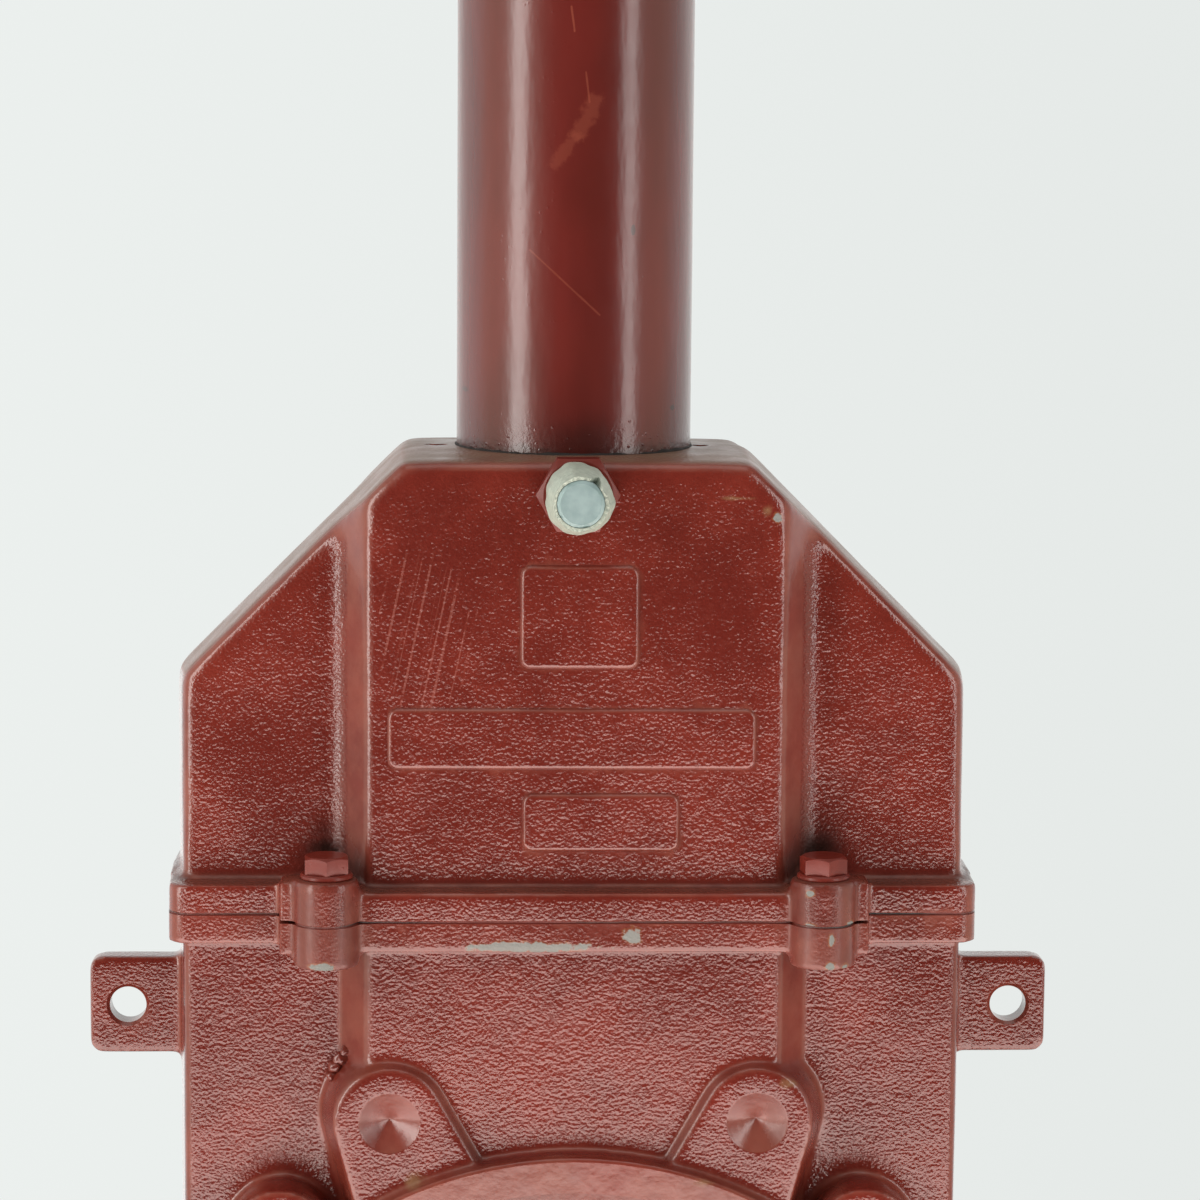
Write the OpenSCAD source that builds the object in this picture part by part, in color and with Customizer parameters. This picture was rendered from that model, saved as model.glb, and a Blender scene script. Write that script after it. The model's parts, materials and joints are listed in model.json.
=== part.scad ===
// Slide gate valve for a tanker outlet, worked by an upright hydraulic cylinder.
// Two castings, the body and the bonnet, meet at a bolted parting flange and hold
// a sliding gate between two seat rings. Shown shut, with the gate across the bore.
// The origin is the centre of the bore on the rear flange face. The front faces -Y.

/* [Passage and flanges] */
// Diameter of the passage
bore_d = 200; // [190:1:206]
// Distance between the front and rear flange faces
face_to_face = 105; // [104:1:115]
// Outside diameter of the raised flange ring
ring_d = 253; // [252:1:258]
// Outside diameter of the seal groove in each ring
groove_d = 231; // [226:1:235]
// Radial width of the seal groove
groove_w = 7.5; // [5:0.5:9]
// Depth of the seal groove
groove_depth = 4; // [2:0.5:6]
// Diameter of the flange bolt circle
bolt_circle_d = 295; // [290:1:302]
// Diameter of the drilled flange holes
flange_hole_d = 22; // [18:0.5:24]
// Slope of the feet of the two lugs that stand on the panels, in degrees
lug_draft = 15; // [8:1:18]
// Radius of each flange lug
lug_r = 17; // [16:0.5:18.5]
// Taper of a lug's sides towards the ring, in degrees
lug_taper = 7; // [4:1:10]
// How far the lug faces lie behind the ring face
lug_set_back = 4.5; // [3:0.5:6]
// Diameter of the drill marks on the undrilled lugs
spot_mark_d = 19.4; // [14:0.2:22]
// Sideways distance of the plain bosses from the centre
plain_boss_x = 90; // [86:1:94]
// Height of the plain bosses above and below the centre
plain_boss_z = 98; // [94:1:102]
// Radius of the plain bosses
plain_boss_r = 17; // [14:0.5:19]

/* [Castings] */
// Width of both castings at the middle plane
casting_w = 246.6; // [246:0.2:252]
// Depth of the side panels, front to rear
side_depth = 62; // [60:1:68]
// Depth of the raised centre panel, front to rear
centre_depth = 88; // [86:1:94]
// Width of the raised centre panel at its face
centre_w = 126; // [116:1:128]
// Width of the sloping step beside the centre panel
step_w = 9; // [7:0.5:11]
// Draft of the cast faces, in degrees
draft = 2.5; // [1:0.5:3]
// Draft of the castings' narrow sides, in degrees
side_draft = 6; // [4:0.5:7]
// Radius of the rounded casting edges
edge_r = 3.5; // [2:0.5:4.5]
// Wall thickness of the castings, front and rear
wall_t = 9; // [8:0.5:10]
// Height of the parting plane above the centre of the bore
parting_h = 200; // [198:1:215]
// Height of the bonnet above the parting plane
bonnet_h = 141; // [141:1:160]
// Size of the sloping shoulders of the bonnet
shoulder = 70; // [60:1:72]

/* [Parting flange] */
// Width of the parting flange at the middle plane
flange_w = 251.5; // [250:0.5:260]
// Radius of the four outer corners of the parting flange
flange_corner_r = 6; // [4:0.5:8]
// Depth of the flange beside the side panels
flange_side_depth = 80; // [76:1:88]
// Depth of the flange in front of the centre panel
flange_centre_depth = 104; // [100:1:108]
// Thickness of the body's flange
lower_flange_t = 9; // [8:0.5:12]
// Thickness of the bonnet's flange
upper_flange_t = 8.5; // [7:0.5:11]
// Thickness of the gasket
gasket_t = 1; // [0.6:0.1:2]
// Diameter of the bolt bosses
bolt_boss_d = 20; // [19:0.5:22]
// Height of a bolt boss above and below the parting plane
bolt_boss_h = 13.5; // [12.5:0.5:16]
// Distance of the bolts from the centre line
bolt_x = 75.4; // [75:0.1:80]
// Distance of the bolts from the middle plane
bolt_y = 50; // [48:0.5:52]

/* [Flange bolts] */
// Thread diameter of the flange bolts
bolt_d = 8; // [6:1:8]
// Length of the bolts under the head
bolt_l = 25; // [22:1:27]
// Size of the bolt heads across flats
bolt_af = 13; // [12:1:14]
// Height of the bolt heads
bolt_head_h = 5.3; // [4:0.1:7]
// Outside diameter of the washers
washer_d = 16; // [15:0.5:18]
// Thickness of the washers
washer_t = 1.6; // [1:0.1:2.5]

/* [Ears] */
// Span over both ears
ear_span = 303.4; // [302:0.2:312]
// Distance from the end of an ear to the centre of its hole
ear_inset = 12; // [11:0.2:13]
// Diameter of the ear holes
ear_hole_d = 11.5; // [9:0.5:12.5]
// Height of an ear
ear_h = 31; // [26:1:34]
// Thickness of an ear
ear_t = 9; // [7:0.5:14]
// Depth of the ear centres below the parting plane
ear_drop = 37; // [34:1:42]
// Radius of the ear corners
ear_corner_r = 4; // [2:0.5:5]

/* [Gate and seats] */
// Thickness of the gate
gate_t = 22; // [21:1:24]
// How far the gate laps over the edge of the passage
gate_lap = 7; // [6:0.5:8]
// Running clearance beside and below the gate
gate_clearance = 7; // [6:0.5:8]
// Radial width of a seat ring
seat_w = 10; // [8:0.5:11]
// Depth of the seat pockets in the body
seat_pocket = 8; // [5:0.5:10]

/* [Cylinder] */
// Outside diameter of the cylinder tube
tube_d = 73; // [71:0.5:76]
// Inside diameter of the cylinder tube
tube_bore = 63; // [61:0.5:65]
// Length of tube held inside the bonnet
tube_insert = 26; // [22:1:26]
// Thickness of the ledge that the tube stands on
ledge_t = 4; // [3:0.5:5]
// Clearance around the tube in the bonnet
tube_clearance = 0.1; // [0.05:0.05:0.3]
// Travel of the gate
stroke = 203; // [190:1:203]
// Diameter of the piston rod
rod_d = 25; // [22:1:28]
// Diameter of the threaded rod ends
rod_thread_d = 16; // [12:1:18]
// Height of the gland at the foot of the tube
gland_h = 35; // [30:1:40]
// Height of the piston
piston_h = 22; // [18:1:30]
// Depth of the end cap's plug
cap_plug_h = 14; // [10:1:20]
// Height of the end cap above the tube
cap_head_h = 12; // [8:1:16]
// Outside diameter of the port bosses
port_boss_d = 27; // [25:1:32]
// Length of the port bosses beyond the tube
port_boss_l = 14; // [12:1:20]
// Diameter of the threaded ports
port_d = 15; // [11:0.5:18]
// Depth of the thread in each port boss
port_depth = 12; // [8:1:12]
// Diameter of the oil passage behind each port
port_passage_d = 8; // [5:0.5:10]

/* [Locking screw] */
// Diameter of the locking screw
lock_d = 14; // [12:1:16]
// Length of screw that stands out beyond its nut
lock_out = 25; // [18:1:30]
// Depth of the screw's axis below the top of the bonnet
lock_drop = 11; // [10:0.5:13]
// Size of the locking nut across flats
lock_nut_af = 22; // [19:1:24]
// Thickness of the locking nut
lock_nut_t = 8; // [6:0.5:11]
// Outside diameter of the wrap around the screw
wrap_d = 20.5; // [18:0.5:22]
// Length of the wrap around the screw
wrap_l = 16; // [12:1:17]

/* [Hidden] */
$fn = 96;

slack = 0.1;           // clearance between pieces that slide or screw together
cut = 1;               // how far a cutting shape runs past the face it cuts
arc_steps = 6;         // flat facets around a rounded casting edge
lug_count = 8;         // flange holes on the bolt circle
drill_point = 118;     // angle of a drill's point, in degrees
hex = 6;               // sides of a hexagon

bore_r = bore_d / 2;
ear_hole_span = ear_span - 2 * ear_inset;
ring_y = face_to_face / 2;
lug_y = ring_y - lug_set_back;
side_y = side_depth / 2;
centre_y = centre_depth / 2;
casting_x = casting_w / 2;
centre_x = centre_w / 2;
bonnet_top = parting_h + bonnet_h;

// Room inside the castings for the gate
gate_r = bore_r + gate_lap;
room_x = gate_r + gate_clearance;
room_y = side_y - wall_t;
channel_y = centre_y - wall_t;
channel_x = centre_x - wall_t;
side_wall_t = casting_x - room_x;
roof_z = bonnet_top - wall_t;
ledge_z = bonnet_top - tube_insert;
hub_z = ledge_z - ledge_t;
hub_r = tube_d / 2 + wall_t;
seat_r = bore_r + seat_w;
channel_foot = seat_r + edge_r;

// Parting faces and bolts
body_top = parting_h - gasket_t / 2;
bonnet_foot = parting_h + gasket_t / 2;
boss_top = parting_h + bolt_boss_h;
boss_foot = parting_h - bolt_boss_h;
head_z = boss_top + washer_t;

// Gate, rod and cylinder, from the foot up
gate_top = gate_r;
lock_nut_h = 13;
rod_shoulder = gate_top + lock_nut_h;
rod_tail = 26;
rod_stem_r = rod_thread_d / 2;
nut_af = rod_thread_d * 1.5;
nut_h = rod_thread_d * 0.8;
gland_top = ledge_z + gland_h;
lower_port_z = bonnet_top + port_boss_d / 2 + 6;
piston_z = max(gland_top, lower_port_z + port_passage_d / 2) + 2;
piston_top = piston_z + piston_h;
rod_top = piston_top + nut_h + 2;
cap_plug_z = rod_top + stroke + 3;
tube_top = cap_plug_z + cap_plug_h;
upper_port_z = cap_plug_z - port_boss_d / 2;

// Locking screw, from the tube's wall out to its end
lock_z = bonnet_top - lock_drop;
nut_y = -centre_y;
lock_end_y = nut_y - lock_nut_t - lock_out;

// ---- Shared shapes ------------------------------------------------------------------

function unit(v) = v / norm(v);

// Corner b of the path a, b, c as an arc of radius r
function round_corner(a, b, c, r) =
    let (
        u = unit(a - b),
        w = unit(c - b),
        half = acos(u * w) / 2,
        sweep = 180 - 2 * half,
        centre = b + unit(u + w) * r / sin(half),
        first = b + u * r / tan(half) - centre,
        last = b + w * r / tan(half) - centre
    )
    [for (i = [0:arc_steps])
        let (t = i / arc_steps)
        centre + (first * sin((1 - t) * sweep) + last * sin(t * sweep)) / sin(sweep)];

// A closed outline with its corners rounded, where radii gives each corner's radius
function rounded(points, radii) =
    let (n = len(points))
    [for (i = [0:n - 1])
        each (radii[i] > 0
            ? round_corner(points[(i + n - 1) % n], points[i], points[(i + 1) % n], radii[i])
            : [points[i]])];

// Outline of a drafted slab seen from above, widest at the middle plane
function slab_plan(x, y) =
    let (lean = y * tan(side_draft))
    rounded(
        [[x - lean, -y], [x, 0], [x - lean, y], [-x + lean, y], [-x, 0], [-x + lean, -y]],
        [edge_r, 0, edge_r, edge_r, 0, edge_r]
    );

// Outline of the raised centre panels seen from above: the steps flare out at their
// foot, where they run into the side panels
function panel_plan(x, y, foot_y, foot_w) =
    let (foot_x = x + foot_w, root_y = foot_y - wall_t / 2, root_x = foot_x + edge_r)
    rounded(
        [
            [x, -y], [foot_x, -foot_y], [root_x, -root_y], [root_x, root_y],
            [foot_x, foot_y], [x, y], [-x, y], [-foot_x, foot_y], [-root_x, root_y],
            [-root_x, -root_y], [-foot_x, -foot_y], [-x, -y]
        ],
        [edge_r, 0, 0, 0, 0, edge_r, edge_r, 0, 0, 0, 0, edge_r]
    );

// Outline of the parting flange with the forward and rearward step
function flange_plan(inset) =
    let (
        x = flange_w / 2 - inset,
        y = flange_side_depth / 2 - inset,
        step_x = bolt_x + bolt_boss_d / 4,
        end_x = x - y * tan(draft),
        front_y = flange_centre_depth / 2 - inset,
        r = edge_r,
        wide_r = flange_corner_r
    )
    rounded(
        [
            [step_x, -front_y], [step_x, -y], [end_x, -y], [x, 0], [end_x, y], [step_x, y],
            [step_x, front_y], [-step_x, front_y], [-step_x, y], [-end_x, y], [-x, 0],
            [-end_x, -y], [-step_x, -y], [-step_x, -front_y]
        ],
        [r, r, wide_r, 0, wide_r, r, r, r, r, wide_r, 0, wide_r, r, r]
    );

// Places what is drawn about the middle plane so that the rear flange face lies at Y = 0
module in_place() {
    translate([0, -ring_y, 0]) children();
}

// An outline in the front view, drawn upright and carried from half_y behind to in front
module upright(half_y) {
    rotate([90, 0, 0]) linear_extrude(height = 2 * half_y, center = true) children();
}

// A shape turned about the bore's axis, with its profile drawn as radius and depth
module about_bore() {
    rotate([-90, 0, 0]) rotate_extrude() children();
}

// A straight round rod or hole from front to rear
module cross_rod(x, z, r, y0, y1) {
    translate([x, y1, z]) rotate([90, 0, 0]) cylinder(r = r, h = y1 - y0);
}

module hexagon_prism(across_flats, h) {
    cylinder(d = across_flats / cos(180 / hex), h = h, $fn = hex);
}

// A hexagon nut or head whose corners are turned off on top, as on a real one
module turned_hexagon(across_flats, h) {
    crown = across_flats / 2 * 0.95;
    slope = tan(30);
    corner = across_flats / 2 / cos(180 / hex);
    intersection() {
        hexagon_prism(across_flats, h);
        rotate_extrude() polygon([
            [0, 0], [corner + cut, 0], [corner + cut, h - (corner + cut - crown) * slope],
            [crown, h], [0, h]
        ]);
    }
}

// ---- Castings -----------------------------------------------------------------------

// The block under one level or sloping roof face, rounded at the front and rear. The
// drafted roof peaks at the middle plane; the flat one lies drop below that peak
module roof_block(half_y, drop, peaked) {
    reach = 2 * (casting_w + bonnet_h);
    peak = peaked ? [[0, 0]] : [];
    corners = concat(
        [[-half_y, -reach], [half_y, -reach], [half_y, -drop]], peak, [[-half_y, -drop]]
    );
    rotate([90, 0, 90]) linear_extrude(height = reach, center = true)
        polygon(rounded(corners, peaked ? [0, 0, edge_r, 0, edge_r] : [0, 0, edge_r, edge_r]));
}

// Cuts its child to the bonnet's outline, a level top between two sloping shoulders
module under_roof(half_y, drop, peaked, x, top, slope) {
    intersection() {
        children();
        translate([0, 0, top]) roof_block(half_y, drop, peaked);
        translate([x - slope, 0, top]) rotate([0, 45, 0]) roof_block(half_y, drop, peaked);
        translate([-x + slope, 0, top]) rotate([0, -45, 0]) roof_block(half_y, drop, peaked);
    }
}

module bonnet_slab(x, y, z0, top, slope) {
    under_roof(y, y * tan(draft), true, x, top, slope)
        translate([0, 0, z0]) linear_extrude(height = top - z0 + cut) polygon(slab_plan(x, y));
}

// The raised panels front and rear: one block that runs through the slab, with its roof
// level with the slab's upper edge
module bonnet_panel(z0) {
    under_roof(centre_y, side_y * tan(draft), false, casting_x, bonnet_top, shoulder)
        translate([0, 0, z0]) linear_extrude(height = bonnet_top - z0)
            polygon(panel_plan(centre_x, centre_y, side_y, step_w));
}

// Room inside the bonnet, with the hub of the cylinder left standing in it
module bonnet_room() {
    difference() {
        bonnet_slab(room_x, room_y, bonnet_foot - cut, roof_z, shoulder - side_wall_t);
        translate([0, 0, hub_z]) cylinder(r = hub_r, h = bonnet_h);
    }
    translate([-channel_x, -channel_y, bonnet_foot - cut])
        cube([2 * channel_x, 2 * channel_y, hub_z - bonnet_foot + cut]);
}

module flange_slab(z0, t, inset) {
    translate([0, 0, z0]) linear_extrude(height = t) polygon(flange_plan(inset));
}

// Puts its child at each of the four flange bolts
module at_bolts() {
    for (side = [-1, 1], end = [-1, 1])
        translate([side * bolt_x, end * bolt_y, 0]) children();
}

module bonnet_casting() {
    color("firebrick") in_place() difference() {
        union() {
            bonnet_slab(casting_x, side_y, bonnet_foot, bonnet_top, shoulder);
            bonnet_panel(bonnet_foot);
            flange_slab(bonnet_foot, upper_flange_t, 0);
            at_bolts() translate([0, 0, bonnet_foot])
                cylinder(d = bolt_boss_d, h = boss_top - bonnet_foot);
        }
        bonnet_room();
        translate([0, 0, ledge_z]) cylinder(r = tube_d / 2 + tube_clearance, h = tube_insert + cut);
        translate([0, 0, hub_z - cut]) cylinder(d = rod_d + 10, h = ledge_t + 2 * cut);
        at_bolts() translate([0, 0, bonnet_foot - cut])
            cylinder(d = bolt_d + 1, h = bolt_boss_h + 2 * cut);
        cross_rod(0, lock_z, lock_d / 2 + slack, -centre_y - cut, -tube_bore / 2);
    }
}

module parting_gasket() {
    color("dimgray") in_place() difference() {
        union() {
            flange_slab(body_top, gasket_t, 0.5);
            at_bolts() translate([0, 0, body_top]) cylinder(d = bolt_boss_d - 1, h = gasket_t);
        }
        translate([0, 0, body_top - cut]) linear_extrude(height = gasket_t + 2 * cut) union() {
            square([2 * room_x, 2 * room_y], center = true);
            square([2 * channel_x, 2 * channel_y], center = true);
        }
        at_bolts() translate([0, 0, body_top - cut])
            cylinder(d = bolt_d + 1, h = gasket_t + 2 * cut);
    }
}

// Angle of lug i about the bore, counted from the first one to the right
function lug_angle(i) = (i + 0.5) * 360 / lug_count;

// Drilled lugs are all but the two at the top, where the gate slides behind
function is_drilled(i) = abs(lug_angle(i) - 90) > 360 / lug_count;

// Outline of a lug that points along +X, with sides that run tangent from its round
// end and widen towards the ring
module lug_outline() {
    far = bolt_circle_d / 2;
    near = bore_r + seat_w;
    tip = [far + lug_r * sin(lug_taper), lug_r * cos(lug_taper)];
    foot_half = tip[1] + (tip[0] - near) * tan(lug_taper);
    translate([far, 0]) circle(r = lug_r);
    polygon([[near, -foot_half], [tip[0], -tip[1]], tip, [near, foot_half]]);
}

// Sloping foot of a lug that stands on the panels: a cone about its round end, and a web
// to the ring whose two flanks run tangent from the cone
module lug_foot() {
    far = bolt_circle_d / 2;
    near = bore_r + seat_w;
    root = side_y - wall_t / 2;
    h = lug_y - root;
    tip = [far + lug_r * sin(lug_taper), lug_r * cos(lug_taper), lug_y];
    reach = bolt_circle_d / 2;
    translate([far, 0, root]) cylinder(r1 = lug_r + h * tan(lug_draft), r2 = lug_r, h = h);
    difference() {
        translate([near, -reach / 2, root]) cube([tip[0] - near, reach, h]);
        for (side = [0, 1]) mirror([0, side, 0])
            translate(tip) rotate([0, 0, -lug_taper]) rotate([lug_draft - 90, 0, 0])
                translate([-reach, -reach, 0]) cube([2 * reach, 2 * reach, reach]);
    }
}

module lugs() {
    for (i = [0:lug_count - 1]) rotate([0, -lug_angle(i), 0]) {
        upright(lug_y) lug_outline();
        if (!is_drilled(i))
            for (end = [0, 1]) mirror([0, end, 0]) rotate([90, 0, 0]) lug_foot();
    }
}

module plain_bosses() {
    for (side = [-1, 1], level = [-1, 1])
        cross_rod(side * plain_boss_x, level * plain_boss_z, plain_boss_r, -lug_y, lug_y);
}

// The two raised rings and the round foot of the body, before they are bored
module ring_and_foot() {
    bevel = 1;
    foot_x = casting_x - side_y * tan(side_draft);
    about_bore() polygon([
        [0, -ring_y], [ring_d / 2 - bevel, -ring_y], [ring_d / 2, -ring_y + bevel],
        [ring_d / 2, -side_y], [foot_x, -side_y], [casting_x, 0], [foot_x, side_y],
        [ring_d / 2, side_y],
        [ring_d / 2, ring_y - bevel], [ring_d / 2 - bevel, ring_y], [0, ring_y]
    ]);
}

module ears() {
    x = ear_span / 2 - ear_corner_r;
    z = ear_h / 2 - ear_corner_r;
    translate([0, 0, parting_h - ear_drop]) upright(ear_t / 2) union() {
        square([2 * x, ear_h], center = true);
        square([ear_span, 2 * z], center = true);
        for (side = [-1, 1], level = [-1, 1])
            translate([side * x, level * z]) circle(r = ear_corner_r);
    }
}

// Room inside the body: a slot for the gate, a deeper channel above the seats, the
// passage and the seat pockets
module body_room() {
    upright(room_y) union() {
        circle(r = room_x);
        translate([-room_x, 0]) square([2 * room_x, body_top + cut]);
    }
    translate([-channel_x, -channel_y, channel_foot])
        cube([2 * channel_x, 2 * channel_y, body_top + cut - channel_foot]);
    cross_rod(0, 0, bore_r, -ring_y - cut, ring_y + cut);
    cross_rod(0, 0, seat_r + slack, -room_y - seat_pocket, room_y + seat_pocket);
}

module seal_groove(face_y, into) {
    outer = groove_d / 2;
    about_bore() translate([outer - groove_w, min(face_y, face_y + into)])
        square([groove_w, abs(into)]);
}

// Holes and drill marks of the flange lugs, the same at the front and the rear
module lug_drilling() {
    mark_h = spot_mark_d / 2 / tan(drill_point / 2);
    for (i = [0:lug_count - 1]) {
        x = bolt_circle_d / 2 * cos(lug_angle(i));
        z = bolt_circle_d / 2 * sin(lug_angle(i));
        if (is_drilled(i))
            cross_rod(x, z, flange_hole_d / 2, -lug_y - cut, lug_y + cut);
        else
            for (face = [0, 180])
                rotate([0, 0, face]) translate([x * cos(face), -lug_y, z]) rotate([-90, 0, 0])
                    cylinder(d1 = spot_mark_d, d2 = 0, h = mark_h);
    }
}

module body_casting() {
    color("firebrick") in_place() difference() {
        union() {
            linear_extrude(height = body_top) polygon(slab_plan(casting_x, side_y));
            linear_extrude(height = body_top)
                polygon(panel_plan(centre_x, centre_y, side_y, step_w));
            ring_and_foot();
            lugs();
            plain_bosses();
            ears();
            flange_slab(body_top - lower_flange_t, lower_flange_t, 0);
            at_bolts() translate([0, 0, boss_foot])
                cylinder(d = bolt_boss_d, h = body_top - boss_foot);
        }
        body_room();
        seal_groove(-ring_y, groove_depth);
        seal_groove(ring_y, -groove_depth);
        lug_drilling();
        for (side = [-1, 1])
            cross_rod(side * ear_hole_span / 2, parting_h - ear_drop, ear_hole_d / 2, -ear_t, ear_t);
        at_bolts() translate([0, 0, boss_foot - cut])
            cylinder(r = bolt_d / 2 + slack, h = bolt_boss_h + 2 * cut);
    }
}

// ---- Gate and seats -----------------------------------------------------------------

// A seat ring stands in its pocket and reaches the gate's face; facing is -1 at the
// front and 1 at the rear
module seat_ring(facing) {
    lip = 1;
    near = gate_t / 2;
    deep = room_y + seat_pocket;
    rotate([0, 0, facing < 0 ? 0 : 180]) about_bore() polygon([
        [bore_r, -deep], [seat_r, -deep], [seat_r, -near - lip], [seat_r - lip, -near],
        [bore_r + lip, -near], [bore_r, -near - lip]
    ]);
}

module front_seat_ring() {
    color("dimgray") in_place() seat_ring(-1);
}

module rear_seat_ring() {
    color("dimgray") in_place() seat_ring(1);
}

module gate_blade() {
    bevel = 1.5;
    color("silver") in_place() difference() {
        union() {
            upright(gate_t / 2) translate([-gate_r, 0]) square([2 * gate_r, gate_top]);
            about_bore() polygon([
                [0, -gate_t / 2], [gate_r - bevel, -gate_t / 2], [gate_r, -gate_t / 2 + bevel],
                [gate_r, gate_t / 2 - bevel], [gate_r - bevel, gate_t / 2], [0, gate_t / 2]
            ]);
        }
        translate([0, 0, gate_top - rod_tail - cut])
            cylinder(r = rod_stem_r + slack, h = rod_tail + 2 * cut);
    }
}

module gate_lock_nut() {
    color("silver") in_place() translate([0, 0, gate_top]) difference() {
        turned_hexagon(nut_af, lock_nut_h);
        translate([0, 0, -cut]) cylinder(r = rod_stem_r + slack, h = lock_nut_h + 2 * cut);
    }
}

// ---- Cylinder -----------------------------------------------------------------------

module piston_rod() {
    bevel = 1;
    color("gainsboro") in_place() rotate_extrude() polygon([
        [0, gate_top - rod_tail], [rod_stem_r - bevel, gate_top - rod_tail],
        [rod_stem_r, gate_top - rod_tail + bevel], [rod_stem_r, rod_shoulder],
        [rod_d / 2, rod_shoulder], [rod_d / 2, piston_z], [rod_stem_r, piston_z],
        [rod_stem_r, rod_top - bevel], [rod_stem_r - bevel, rod_top], [0, rod_top]
    ]);
}

// The gland fills the foot of the tube; its hollow foot clears the gate's lock nut
module rod_gland() {
    r = tube_bore / 2 - slack;
    hollow_r = rod_d / 2 + 4;
    hollow_h = 14;
    groove = 3;
    groove_z = ledge_z + gland_h * 0.6;
    color("gray") in_place() rotate_extrude() polygon([
        [hollow_r, ledge_z], [r, ledge_z], [r, groove_z - groove], [r - groove, groove_z - groove],
        [r - groove, groove_z + groove], [r, groove_z + groove], [r, gland_top],
        [rod_d / 2 + slack, gland_top], [rod_d / 2 + slack, ledge_z + hollow_h],
        [hollow_r, ledge_z + hollow_h]
    ]);
}

// A round seal that lies in a groove of its carrier
module groove_seal(z, depth, half_h) {
    outer = tube_bore / 2 - slack / 2;
    in_place() translate([0, 0, z]) rotate_extrude()
        translate([outer - depth, -half_h]) square([depth, 2 * half_h]);
}

module gland_seal() {
    color("black") groove_seal(ledge_z + gland_h * 0.6, 2.9, 2.9);
}

module cylinder_piston() {
    r = tube_bore / 2 - slack;
    groove = 4;
    mid_z = piston_z + piston_h / 2;
    color("gray") in_place() rotate_extrude() polygon([
        [rod_stem_r + slack, piston_z], [r, piston_z], [r, mid_z - groove],
        [r - groove, mid_z - groove], [r - groove, mid_z + groove], [r, mid_z + groove],
        [r, piston_top], [rod_stem_r + slack, piston_top]
    ]);
}

module piston_ring() {
    color("black") groove_seal(piston_z + piston_h / 2, 3.9, 3.9);
}

module piston_nut() {
    color("silver") in_place() translate([0, 0, piston_top]) difference() {
        turned_hexagon(nut_af, nut_h);
        translate([0, 0, -cut]) cylinder(r = rod_stem_r + slack, h = nut_h + 2 * cut);
    }
}

// Oil passage of a port through the wall of the tube
module port_passage(z) {
    translate([0, 0, z]) rotate([-90, 0, 0]) cylinder(d = port_passage_d, h = tube_d);
}

module cylinder_tube() {
    color("firebrick") in_place() difference() {
        translate([0, 0, ledge_z]) cylinder(d = tube_d, h = tube_top - ledge_z);
        translate([0, 0, ledge_z - cut]) cylinder(d = tube_bore, h = tube_top - ledge_z + 2 * cut);
        port_passage(lower_port_z);
        port_passage(upper_port_z);
    }
}

module cylinder_end_cap() {
    plug_r = tube_bore / 2 - slack;
    head_r = tube_d / 2;
    groove = 2.5;
    groove_z = cap_plug_z + cap_plug_h / 2;
    bevel = 2;
    key_d = 8;
    key_depth = 7;
    head_top = tube_top + cap_head_h;
    color("firebrick") in_place() difference() {
        rotate_extrude() polygon([
            [0, cap_plug_z], [plug_r, cap_plug_z], [plug_r, groove_z - groove],
            [plug_r - groove, groove_z - groove], [plug_r - groove, groove_z + groove],
            [plug_r, groove_z + groove], [plug_r, tube_top], [head_r, tube_top],
            [head_r, head_top - bevel], [head_r - bevel, head_top], [0, head_top]
        ]);
        for (side = [-1, 1])
            translate([side * head_r * 0.6, 0, head_top - key_depth])
                cylinder(d = key_d, h = key_depth + cut);
    }
}

module cap_seal() {
    color("black") groove_seal(cap_plug_z + cap_plug_h / 2, 2.4, 2.4);
}

// A threaded boss seated on the rear of the tube
module port_boss(z) {
    out = tube_d / 2 + port_boss_l;
    bevel = 1.5;
    color("firebrick") in_place() difference() {
        translate([0, 0, z]) rotate([-90, 0, 0]) rotate_extrude() polygon([
            [port_passage_d / 2, 0], [port_boss_d / 2, 0], [port_boss_d / 2, out - bevel],
            [port_boss_d / 2 - bevel, out], [port_d / 2, out], [port_d / 2, out - port_depth],
            [port_passage_d / 2, out - port_depth]
        ]);
        translate([0, 0, z - port_boss_d])
            cylinder(r = tube_d / 2 + slack / 2, h = 2 * port_boss_d);
    }
}

module lower_port_boss() {
    port_boss(lower_port_z);
}

module upper_port_boss() {
    port_boss(upper_port_z);
}

// ---- Locking screw ------------------------------------------------------------------

module locking_screw() {
    tip_y = -tube_d / 2;
    length = tip_y - lock_end_y;
    bevel = 1;
    color("lightsteelblue") in_place() translate([0, tip_y, lock_z]) rotate([90, 0, 0])
        rotate_extrude() polygon([
            [0, 0], [lock_d / 2 - bevel, 0], [lock_d / 2, bevel], [lock_d / 2, length - bevel],
            [lock_d / 2 - bevel, length], [0, length]
        ]);
}

module locking_nut() {
    color("firebrick") in_place() translate([0, nut_y, lock_z]) rotate([90, 0, 0])
        difference() {
            turned_hexagon(lock_nut_af, lock_nut_t);
            translate([0, 0, -cut]) cylinder(r = lock_d / 2 + slack, h = lock_nut_t + 2 * cut);
        }
}

module screw_wrap() {
    color("wheat") in_place() translate([0, nut_y - lock_nut_t, lock_z]) rotate([90, 0, 0])
        difference() {
            cylinder(d = wrap_d, h = wrap_l);
            translate([0, 0, -cut]) cylinder(r = lock_d / 2 + slack, h = wrap_l + 2 * cut);
        }
}

// ---- Flange bolts -------------------------------------------------------------------

module flange_bolt(side, end) {
    color("firebrick") in_place() translate([side * bolt_x, end * bolt_y, head_z]) {
        turned_hexagon(bolt_af, bolt_head_h);
        translate([0, 0, -bolt_l]) cylinder(d = bolt_d, h = bolt_l);
    }
}

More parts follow.
